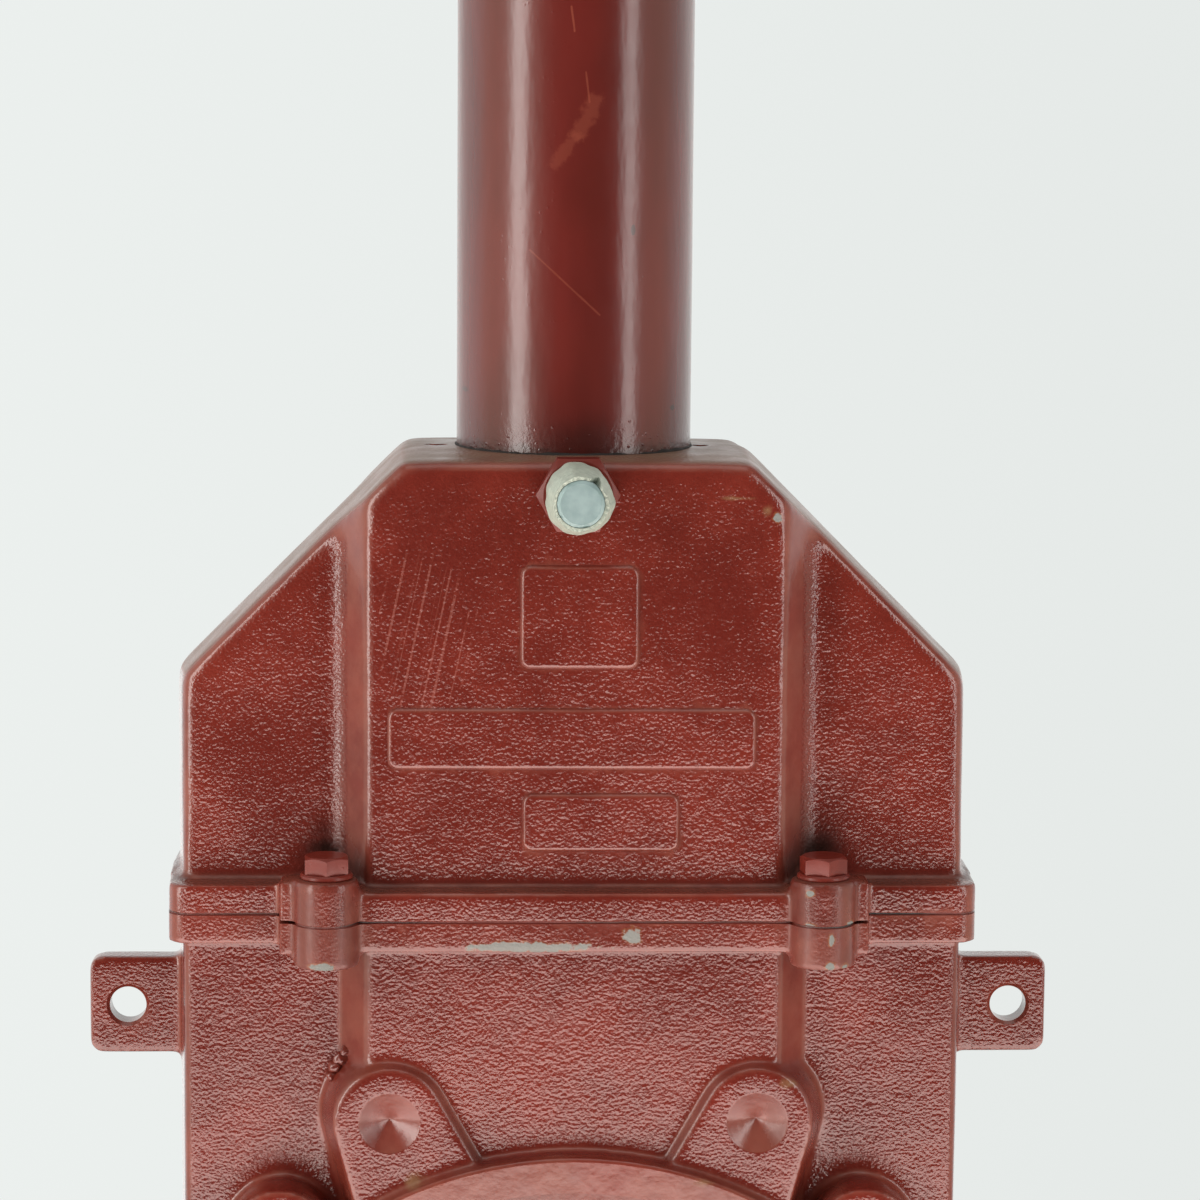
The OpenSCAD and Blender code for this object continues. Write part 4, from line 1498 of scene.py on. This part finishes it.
@dataclass
class LiftCylinder:
    """The upright cylinder: its drawn tube and the grime at its foot."""

    layout: Layout
    steps: int = 256
    sway: float = 0.05 * MM

    def tube(self) -> bpy.types.Object:
        """The tube, very slightly uneven.

        Returns:
            The piece.
        """
        low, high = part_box("cylinder_tube")
        inner = 31.5 * MM
        outer = self.layout.tube_radius
        rise = np.linspace(low.z, high.z, 150)
        profile = [(outer, float(z)) for z in rise] + [(inner, high.z), (inner, low.z)]
        mesh = turned("tube", profile, self.steps, Along.UP, (0, self.layout.middle, 0))
        rows = coords(mesh)
        outward, radius = self.outward(rows)
        drawn = rows * np.array([1, 1, 0.25])
        shift = np.where(radius > outer - 0.5 * MM, waves(drawn, 14 * MM, 4.0), 0.0) * self.sway
        rows[:, :2] += outward * shift[:, None]
        set_coords(mesh, rows)
        return shaded(show("drawn_tube", mesh))

    def outward(self, rows: np.ndarray) -> tuple[np.ndarray, np.ndarray]:
        """The direction away from the tube's axis at each vertex, and the distance from it."""
        radial = rows[:, :2] - np.array([0, self.layout.middle])
        radius = np.hypot(radial[:, 0], radial[:, 1])
        return radial / radius[:, None], radius

    def foot_line(self) -> bpy.types.Object:
        """The dark, uneven line where the tube enters the bonnet.

        Returns:
            The piece.
        """
        roof, outer = self.layout.roof, self.layout.tube_radius
        profile = [(-0.3, -1.0), (0.5, -1.0), (0.45, 0.05), (0.3, 0.2), (0.08, 0.32), (-0.3, 0.3)]
        profile = [(outer + r * MM, roof + h * MM) for r, h in profile]
        mesh = turned("foot_line", profile, 480, Along.UP, (0, self.layout.middle, 0))
        rows = coords(mesh)
        rough = waves(rows, 2.4 * MM, 9.0)
        slow = waves(rows * np.array([1, 1, 0]), 15 * MM, 2.0)
        swell = (rough * 0.35 + slow * 0.5) * MM
        high = rows[:, 2] > roof - 0.5 * MM
        rows[:, 2] += np.where(high, swell, 0.0)
        outward, radius = self.outward(rows)
        wide = high & (radius > outer + 0.2 * MM)
        rows[:, :2] += outward * np.where(wide, swell * 0.4, 0.0)[:, None]
        set_coords(mesh, rows)
        return shaded(show("foot_line", mesh), 60)

    def build(self, enamel: bpy.types.Material, dark: bpy.types.Material) -> None:
        """Makes the cylinder's own pieces, in its enamel and in the dark of its foot."""
        mount(self.tube(), enamel, ["cylinder_tube"])
        mount(self.foot_line(), dark)


# ---- Fasteners ----------------------------------------------------------------------


@dataclass
class PartingBolts:
    """The four hexagon bolts and washers of the parting flange."""

    layout: Layout
    across_flats: float = 13 * MM
    head: float = 5.3 * MM
    shank: float = 18 * MM
    washer_radius: float = 8.0 * MM
    washer: float = 1.6 * MM
    steps: int = 48

    def head_mesh(self) -> bpy.types.Mesh:
        """One bolt about its own axis, with its crown chamfered.

        Returns:
            The mesh, from the shank's end up to the head's top at height 0.
        """
        shank = self.across_flats / math.sqrt(3) * 0.5
        crown = self.across_flats / 2 * 0.95
        slope = math.tan(math.radians(30))

        def hexagon(angle: float) -> float:
            """Radius of the hexagon at an angle."""
            local = (angle + math.pi / 6) % (math.pi / 3) - math.pi / 6
            return self.across_flats / 2 / math.cos(local)

        def ring(radius_at: Rule, height_at: Rule) -> list[Point]:
            """One ring of points.

            Args:
                radius_at: Gives the radius at an angle.
                height_at: Gives the height at a radius.

            Returns:
                The points.
            """
            points = []
            for step in range(self.steps):
                angle = 2 * math.pi * step / self.steps
                radius = radius_at(angle)
                points.append((radius * math.cos(angle), radius * math.sin(angle), height_at(radius)))
            return points

        return prism(
            "bolt",
            ring(lambda a: shank, lambda r: -self.head - self.shank),
            ring(lambda a: shank, lambda r: -self.head),
            ring(lambda a: hexagon(a) * 0.985, lambda r: -self.head),
            ring(hexagon, lambda r: -self.head + 0.25 * MM),
            ring(hexagon, lambda r: -max(0.0, r - crown) * slope - 0.15 * MM),
            ring(lambda a: min(hexagon(a) - 0.2 * MM, crown), lambda r: 0.0),
            ring(lambda a: crown * 0.6, lambda r: 0.02 * MM),
        )

    def washer_mesh(self) -> bpy.types.Mesh:
        """One washer, its rim rounded by paint, below the bolt's head.

        Returns:
            The mesh.
        """
        r, t, hole = self.washer_radius, self.washer, 4.3 * MM
        low = -self.head - t
        profile = [(hole, low), (r - 0.2 * MM, low), (r, low + 0.4 * MM), (r - 0.1 * MM, low + t * 0.7),
                   (r - 0.6 * MM, low + t), (hole, low + t)]
        return turned("washer", profile, 64)

    def tree(self, name: str) -> bpy.types.NodeTree:
        """Repeats a fastener at the four corners of a rectangle.

        Args:
            name: Name of the node group.

        Returns:
            The node group; its inputs are the spacings, centre, turn, seed and finish.
        """
        tree = bpy.data.node_groups.new(name, "GeometryNodeTree")
        face = tree.interface
        face.new_socket("Geometry", in_out="INPUT", socket_type="NodeSocketGeometry")
        for label, kind in (("Spacing X", "NodeSocketFloat"), ("Spacing Y", "NodeSocketFloat"),
                            ("Centre", "NodeSocketVector"), ("Turn", "NodeSocketFloat"),
                            ("Seed", "NodeSocketInt"), ("Finish", "NodeSocketMaterial")):
            face.new_socket(label, in_out="INPUT", socket_type=kind)
        face.new_socket("Geometry", in_out="OUTPUT", socket_type="NodeSocketGeometry")
        given = add(tree, "NodeGroupInput").outputs
        grid = add(tree, "GeometryNodeMeshGrid", {
            "Size X": given["Spacing X"], "Size Y": given["Spacing Y"], "Vertices X": 2, "Vertices Y": 2})
        moved = add(tree, "GeometryNodeSetPosition", {
            "Geometry": grid.outputs["Mesh"], "Offset": given["Centre"]})
        # Inputs 2 and 3 and output 1 are this node's numbers; the rest are its other types
        turn = add(tree, "FunctionNodeRandomValue", {
            2: Field(given["Turn"]) * -1.0, 3: given["Turn"], "Seed": given["Seed"]}, data_type="FLOAT")
        spin = add(tree, "ShaderNodeCombineXYZ", {"Z": turn.outputs[1]})
        copies = add(tree, "GeometryNodeInstanceOnPoints", {
            "Points": moved.outputs[0], "Instance": given["Geometry"], "Rotation": spin.outputs[0]})
        solid = add(tree, "GeometryNodeRealizeInstances", {"Geometry": copies.outputs[0]})
        dressed = add(tree, "GeometryNodeSetMaterial", {
            "Geometry": solid.outputs[0], "Material": given["Finish"]})
        add(tree, "NodeGroupOutput", {"Geometry": dressed.outputs[0]})
        return tree

    def repeated(
        self, name: str, mesh: bpy.types.Mesh, tree: bpy.types.NodeTree, turn: float,
        finish: bpy.types.Material,
    ) -> bpy.types.Object:
        """Runs the tree on one fastener.

        Args:
            name: Name of the piece.
            mesh: The fastener, with its top at the origin.
            tree: The node group that repeats it.
            turn: How far each copy may be turned either way, in radians.
            finish: Its material.

        Returns:
            The piece, a plain mesh of all four.
        """
        piece = show(name, mesh)
        modifier = piece.modifiers.new("repeat", "NODES")
        modifier.node_group = tree
        at = self.layout
        sizes = {
            "Spacing X": 2 * at.bolt_x,
            "Spacing Y": 2 * (at.bolt_y - at.middle),
            "Centre": (0.0, at.middle, at.bolt_top),
            "Turn": turn,
            "Seed": 11,
            "Finish": finish,
        }
        for socket in tree.interface.items_tree:
            if socket.in_out == "INPUT" and socket.name in sizes:
                modifier[socket.identifier] = sizes[socket.name]
        return shaded(baked(piece))

    def build(self, enamel: bpy.types.Material) -> None:
        """Makes the bolts and the washers.

        Args:
            enamel: Their material.
        """
        tree = self.tree("four_corners")
        ends = [f"{end}_{side}" for end in ("front", "rear") for side in ("left", "right")]
        bolts = self.repeated("flange_bolts", self.head_mesh(), tree, 0.22, enamel)
        mount(bolts, enamel, [f"flange_bolt_{end}" for end in ends])
        washers = self.repeated("flange_washers", self.washer_mesh(), tree, 0.0, enamel)
        mount(washers, enamel, [f"flange_washer_{end}" for end in ends])


@dataclass(frozen=True)
class TornTape:
    """Masking tape wound on the locking screw and torn off: a sleeve with a loose end."""

    base: float
    front: float
    height: float
    radius: float = 10.25 * MM
    tip: float = 7.9 * MM
    inner: float = 7.05 * MM
    steps: int = 180

    def radius_at(self, angle: float, along: float) -> float:
        """Outer radius: slack, a little flat-sided, one more turn of tape on part of it.

        Args:
            angle: Angle round the screw.
            along: How far along it, from 0 at the nut to 1.

        Returns:
            The radius.
        """
        slack = 0.28 * math.cos(3 * angle + 0.6) + 0.16 * math.cos(7 * angle)
        slack += 0.1 * math.cos(13 * angle + 2 * along)
        wound = 0.35 * (angle % (2 * math.pi)) / (2 * math.pi)
        taper = self.radius + (self.tip - self.radius) * max(0.0, (along - 0.58) / 0.42) ** 1.3
        fold = 0.12 * math.sin(along * 21 + 1.4 * math.sin(angle * 2))
        return taper + (slack * (1 - 0.5 * along) + wound - 0.35 + fold * along) * MM

    def edge_at(self, angle: float) -> float:
        """How far the ragged front edge stands back from the screw's end.

        Args:
            angle: Angle round the screw.

        Returns:
            The distance.
        """
        tear = Vector((math.cos(angle) * 1.6, math.sin(angle) * 1.6, 4.0))
        gap = 0.9 + 1.0 * noise.noise(tear) + 0.5 * noise.noise(tear * 5)
        notch = math.exp(-(((angle - 0.95 + math.pi) % (2 * math.pi) - math.pi) / 0.17) ** 2)
        return (gap + 5.5 * notch) * MM

    def build(self) -> bpy.types.Object:
        """Winds the sleeve.

        Returns:
            The piece, a closed sleeve from the nut's face to the screw's end.
        """
        rows, verts, faces = 22, [], []
        for step in range(self.steps):
            angle = 2 * math.pi * step / self.steps
            end = self.front + max(0.25 * MM, self.edge_at(angle))
            ring = []
            for row in range(rows):
                part = row / (rows - 1)
                y = self.base + (end - self.base) * part
                along = (self.base - y) / (self.base - self.front)
                ring.append((self.radius_at(angle, along), y))
            ring.append((self.inner + 0.12 * MM, end + 0.05 * MM))
            ring.append((self.inner, end + 0.5 * MM))
            ring.append((self.inner, self.base))
            verts += [(r * math.cos(angle), y, self.height + r * math.sin(angle)) for r, y in ring]
        count = rows + 3
        for step in range(self.steps):
            here, there = step * count, (step + 1) % self.steps * count
            faces += [(here + i, there + i, there + (i + 1) % count, here + (i + 1) % count)
                      for i in range(count)]
        return shaded(show("torn_tape", mesh_from("torn_tape", verts, faces)), 50)


# ---- Studio -------------------------------------------------------------------------


@dataclass(frozen=True)
class Studio:
    """A pale floor and backdrop, and plain soft lamps."""

    paper: str = "#ebefed"
    paper_level: float = 0.982
    shade: float = 0.17
    floor_z: float = -157.8 * MM
    front: float = 0.06
    left: float = 1.88
    right: float = 1.35
    behind: float = 1.5
    above: float = 0.65
    fill: float = 0.12
    spread: float = 0.7
    sheet: float = 5.6
    glow: str = "#f2ddd6"
    warm: str = "#eee0cf"

    def floor(self) -> None:
        """A wide floor that the camera sees as plain paper away from the valve."""
        radii, thick = (0.0, 0.5, 1.0, 3.0, 30.0), 0.02
        profile = [(r, 0.0) for r in radii] + [(radii[-1], -thick), (0.0, -thick)]
        piece = show("studio_floor", turned("floor", profile, 96, Along.UP, (0, 0, self.floor_z)))
        piece.data.materials.append(self.ground())

    def ground(self) -> bpy.types.Material:
        """The floor's paper.

        Returns:
            A material that is matt near the valve and an even tone for the camera farther
            out. The gloss sees the room there instead, and a pale sheet just in front.
        """
        coat = Coat("studio_paper")
        x, y, _ = coat.where.axes()
        way = coat.where.arrow("NORMALIZE")
        far = coat.where.arrow("LENGTH", result="Value").rise(0.45, 0.8)
        # A pale sheet just in front of the valve, which only the gloss shows
        near = (y.rise(-1.2, -1.1) - y.rise(-0.22, -0.1)) * abs(x).fall(0.7, 0.9)
        ray = add(coat.tree, "ShaderNodeLightPath").outputs
        matt = add(coat.tree, "ShaderNodeBsdfDiffuse", {"Color": linear(self.paper)})
        even = add(coat.tree, "ShaderNodeEmission", {
            "Color": linear(self.paper), "Strength": self.backdrop(x / (abs(y) + 1.2))})
        room = add(coat.tree, "ShaderNodeEmission", {
            "Color": near.mix(self.tint(way), linear(self.glow)),
            "Strength": self.surroundings(way).at_least(near * self.sheet)})
        seen = add(coat.tree, "ShaderNodeMixShader", {
            0: Field(ray["Is Camera Ray"]) * far, 1: matt.outputs[0], 2: even.outputs[0]})
        both = add(coat.tree, "ShaderNodeMixShader", {
            0: Field(ray["Is Glossy Ray"]) * far.at_least(near), 1: seen.outputs[0], 2: room.outputs[0]})
        add(coat.tree, "ShaderNodeOutputMaterial", {"Surface": both.outputs[0]})
        return coat.material

    def backdrop(self, side: Field) -> Field:
        """The paper's brightness, falling off a little to the right."""
        return self.paper_level - side * self.shade

    def surroundings(self, way: Field) -> Field:
        """How bright the room is, as the gloss shows it.

        Args:
            way: A direction, of length 1.

        Returns:
            The brightness: low in front, more to the left and overhead, most to the right
            and behind.
        """
        x, y, z = way.axes()
        left = (x * -1.0).rise(0.28, 0.95) * self.left
        right = x.rise(0.8, 0.95) * self.right
        behind = y.rise(0.0, 0.5) * self.behind
        above = z.rise(0.5, 0.85) * self.above
        return left.at_least(right).at_least(behind.at_least(above)).at_least(self.front)

    def tint(self, way: Field) -> Field:
        """The room's colour in a direction: warm beside and in front, neutral behind."""
        _, back, _ = way.axes()
        return back.rise(0.0, 0.45).mix(linear(self.warm), linear(self.paper))

    def world(self) -> None:
        """Paper all round for the camera; the room's own tones for the gloss."""
        world = bpy.data.worlds.new("studio_air")
        bpy.context.scene.world = world
        world.use_nodes = True
        tree = world.node_tree
        tree.nodes.clear()
        ray = add(tree, "ShaderNodeLightPath").outputs
        glossy = Field(ray["Is Glossy Ray"])
        camera = Field(ray["Is Camera Ray"]).at_least(Field(ray["Is Transmission Ray"]))
        way = Field(add(tree, "ShaderNodeTexCoord").outputs["Generated"])
        side, _, _ = way.axes()
        gloss = self.surroundings(way)
        soft = gloss * self.spread + self.fill
        level = glossy.between(soft, gloss)
        back = add(tree, "ShaderNodeBackground", {
            "Color": glossy.mix(linear(self.paper), self.tint(way)),
            "Strength": camera.between(level, self.backdrop(side))})
        add(tree, "ShaderNodeOutputWorld", {"Surface": back.outputs[0]})

    def lamp(
        self, name: str, at: Point, to: Point, size: Flat, power: float, tint: Point = (1.0, 0.97, 0.94)
    ) -> None:
        """One soft rectangular lamp.

        Args:
            name: Its name.
            at: Where it stands.
            to: The point it is aimed at.
            size: Its width and height.
            power: Its power in watts.
            tint: Its linear colour.
        """
        light = bpy.data.lights.new(name, "AREA")
        light.shape = "RECTANGLE"
        light.size, light.size_y = size
        light.energy = power
        light.color = tint
        lamp = bpy.data.objects.new(name, light)
        lamp.location = at
        lamp.rotation_euler = (Vector(to) - Vector(at)).to_track_quat("-Z", "Y").to_euler()
        bpy.context.scene.collection.objects.link(lamp)

    def build(self) -> None:
        """Sets the floor, the air and the lamps."""
        self.floor()
        self.world()
        aim = (0.0, -0.05, 0.25)
        self.lamp("left_strip", (-1.54, -1.04, 0.5), aim, (0.52, 1.9), 26.0)
        self.lamp("right_strip", (1.42, -1.15, 0.5), aim, (0.4, 1.9), 16.0)
        low, straight_up = (0.0, -0.72, -0.15), (0.0, -0.7199, 1.0)
        self.lamp("low_front", low, straight_up, (1.6, 0.85), 8.8, (1.0, 0.86, 0.78))
        self.lamp("overhead", (0.0, -0.55, 1.9), aim, (1.6, 1.0), 5.5)


@dataclass(frozen=True)
class Viewpoint:
    """The camera: in front of the valve, a little to its left and above it."""

    at: Point = (-0.0350, -1.1941, 0.4408)
    turn: float = 2.192
    down: float = 7.427
    lean: float = -0.453
    lens: float = 110.013

    def build(self) -> None:
        """Sets the scene's camera."""
        turn, down, lean = (math.radians(a) for a in (self.turn, self.down, self.lean))
        ahead = math.cos(down)
        forward = Vector((math.sin(turn) * ahead, math.cos(turn) * ahead, -math.sin(down)))
        level = Vector((math.cos(turn), -math.sin(turn), 0.0))
        above = level.cross(forward)
        right = level * math.cos(lean) - above * math.sin(lean)
        up = level * math.sin(lean) + above * math.cos(lean)
        camera = bpy.data.cameras.new("viewpoint")
        camera.lens = self.lens
        camera.sensor_width = 36.0
        camera.clip_start = 0.05
        holder = bpy.data.objects.new("viewpoint", camera)
        frame = Matrix((right, up, -forward)).transposed().to_4x4()
        frame.translation = self.at
        holder.matrix_world = frame
        bpy.context.scene.collection.objects.link(holder)
        bpy.context.scene.camera = holder


# ---- Whole valve --------------------------------------------------------------------

# Chips and stains: centre and half sizes in millimetres
BODY_MARKS = (
    ((-13.4, -104.0, 192.3), (25.0, 4.0, 2.1)),
    ((17.2, -104.0, 195.5), (3.8, 4.0, 3.2)),
    ((-76.4, -112.5, 187.8), (4.2, 4.0, 1.8)),
    ((77.0, -112.0, 188.2), (1.7, 4.0, 1.6)),
    ((81.6, -110.0, 187.4), (1.1, 4.0, 0.8)),
    ((77.2, -112.0, 196.2), (1.2, 4.0, 2.3)),
)
BODY_STAINS = (
    ((67.9, -100.5, 148.8), (6.0, 4.0, 2.6)),
    ((39.4, -105.0, 118.7), (6.0, 3.0, 2.8)),
    ((-48.0, -100.0, 118.0), (7.0, 6.0, 5.0)),
)
BONNET_MARKS = (
    ((60.6, -96.5, 322.7), (1.8, 4.0, 1.8)),
    ((70.4, -111.0, 210.3), (2.0, 4.0, 1.3)),
    ((70.8, -111.0, 200.4), (1.9, 4.0, 0.8)),
    ((83.0, -109.0, 200.6), (1.5, 4.0, 0.9)),
)
BONNET_STAINS = (
    ((49.0, -96.5, 328.6), (8.0, 4.0, 1.1)),
    ((57.5, -96.5, 325.0), (2.6, 4.0, 3.4)),
)
TUBE_STROKES = (
    Stroke((-6.8, 428.4), (-1.5, 436.0), 2.6, 0.2, 1.1),
    Stroke((-0.5, 437.5), (4.8, 446.5), 3.4, 0.22, 1.1),
    Stroke((-14.5, 402.4), (6.6, 383.1), 0.4, 0.25, 0.5),
    Stroke((1.9, 455.5), (3.0, 446.7), 0.4, 0.3, 0.4),
    Stroke((-2.6, 474.8), (-1.6, 467.6), 0.45, 0.4, 0.4),
)
TUBE_NICKS = (
    ((16.6, -85.0, 408.6), (0.9, 3.0, 2.3)),
    ((-33.9, -66.0, 359.0), (2.0, 4.0, 1.0)),
    ((29.6, -74.0, 354.2), (1.1, 4.0, 1.2)),
)

# By the record's material slot, each with what its material gives the eye
PLAIN = {
    # Pressed fibre, cut: dull and nearly black
    "gasket_fibre": PlainFinish("gasket_fibre", "#3a3431", "#1f1a18", (0.8, 0.8, 0.3), 0.1, 0.0, 0.85),
    # Moulded nitrile rubber: dark, with a broad, soft shine
    "seat_rubber": PlainFinish("seat_rubber", "#2a2a2b", "#1a1a1b", (1.5, 1.5, 1.5), 0.05, 0.0, 0.55),
    # Ground stainless steel: bright, its shine drawn out across fine lines along X
    "gate_steel": PlainFinish(
        "gate_steel_ground", "#b4b7b8", "#a3a6a7", (30.0, 0.8, 0.25), 0.01, 1.0, 0.34, 0.04),
    # Polished hard chrome: a near mirror with faint upright lines
    "rod_chrome": PlainFinish("rod_chrome", "#d4d8da", "#c3c8cb", (0.5, 0.5, 20.0), 0.005, 1.0, 0.12, 0.03),
    # Turned cast iron: mid grey with a half gloss
    "turned_iron": PlainFinish("turned_iron", "#7c7d7c", "#5f605f", (0.6, 0.6, 0.6), 0.03, 1.0, 0.4),
    # Moulded nitrile rubber, oiled: black, shinier than the seats
    "seal_rubber": PlainFinish("seal_rubber", "#202021", "#151516", (1.0, 1.0, 1.0), 0.03, 0.0, 0.45),
    # Oil and road dirt packed at the tube's foot: black, with no shine
    "foot_grime": PlainFinish("foot_grime", "#1c1412", "#0d0908", (1.5, 1.5, 1.5), 0.08, 0.0, 0.85),
    # Zinc plate, dulled outdoors: blue-grey and cloudy, half like metal
    "plated_steel": PlainFinish("zinc_plate", "#8fa3a3", "#829797", (4.0, 4.0, 4.0), 0.05, 0.3, 0.4),
    # Creped masking tape, weathered: pale grey-green, matt and finely wrinkled along the screw
    "wrap_tape": PlainFinish("torn_tape", "#a8afa1", "#8f968a", (1.6, 0.8, 1.6), 0.25, 0.0, 0.6),
}


@dataclass(frozen=True)
class Finishes:
    """Every material of the valve."""

    body: bpy.types.Material
    bonnet: bpy.types.Material
    tube: bpy.types.Material
    bolt: bpy.types.Material
    joint: bpy.types.Material
    plain: dict[str, bpy.types.Material]

    @classmethod
    def make(cls, layout: Layout) -> "Finishes":
        """Builds them for the valve's layout.

        Args:
            layout: Where the valve's main faces lie.

        Returns:
            The materials.
        """
        scrapes = Scratches((-46.0, -96.5, 287.0), (19.0, 4.0, 34.0))
        return cls(
            body=CastEnamel("body_cast_enamel", BODY_MARKS, BODY_STAINS).material(),
            bonnet=CastEnamel("bonnet_cast_enamel", BONNET_MARKS, BONNET_STAINS, scrapes).material(),
            tube=TubeEnamel(
                "tube_enamel", foot=layout.roof, strokes=TUBE_STROKES, nicks=TUBE_NICKS).material(),
            bolt=TubeEnamel(
                "bolt_enamel", "#68241b", "#5a1c15", bump_mm=0.2, roughness=0.34, shine=0.28).material(),
            joint=JointPaint("painted_joint", layout.parting).material(),
            plain={slot: finish.material() for slot, finish in PLAIN.items()},
        )


def dress_cad_nodes(frame: dict, finishes: Finishes) -> None:
    """Gives each CAD node that still shows the finish of its slot.

    Args:
        frame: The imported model, as loaded.
        finishes: The valve's materials.
    """
    slots = {row["node"]: row["material_slot"] for row in frame["record"]["subparts"]}
    for name, piece in frame["nodes"].items():
        finish = finishes.plain.get(slots.get(name, ""), finishes.bolt)
        if name == "parting_gasket":
            finish = finishes.joint
        piece.data.materials.clear()
        piece.data.materials.append(finish)


def main() -> None:
    """Builds the dressed valve, the studio and the camera."""
    logging.basicConfig(level=logging.INFO, format="%(name)s: %(message)s")
    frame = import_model()
    Viewpoint().build()
    layout = Layout.read()
    finishes = Finishes.make(layout)
    mount(BodyCasting(layout=layout).build(), finishes.body, ["body_casting"])
    mount(BonnetCasting(layout=layout).build(), finishes.bonnet, ["bonnet_casting"])
    LiftCylinder(layout).build(finishes.tube, finishes.plain["foot_grime"])
    PartingBolts(layout).build(finishes.bolt)
    wrap_low, wrap_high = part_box("screw_wrap")
    tip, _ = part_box("locking_screw")
    tape = TornTape(wrap_high.y, tip.y, (wrap_low.z + wrap_high.z) / 2)
    mount(tape.build(), finishes.plain["wrap_tape"], ["screw_wrap"])
    dress_cad_nodes(frame, finishes)
    Studio().build()
    bpy.context.scene.view_settings.view_transform = "Standard"


if __name__ == "__main__":
    main()
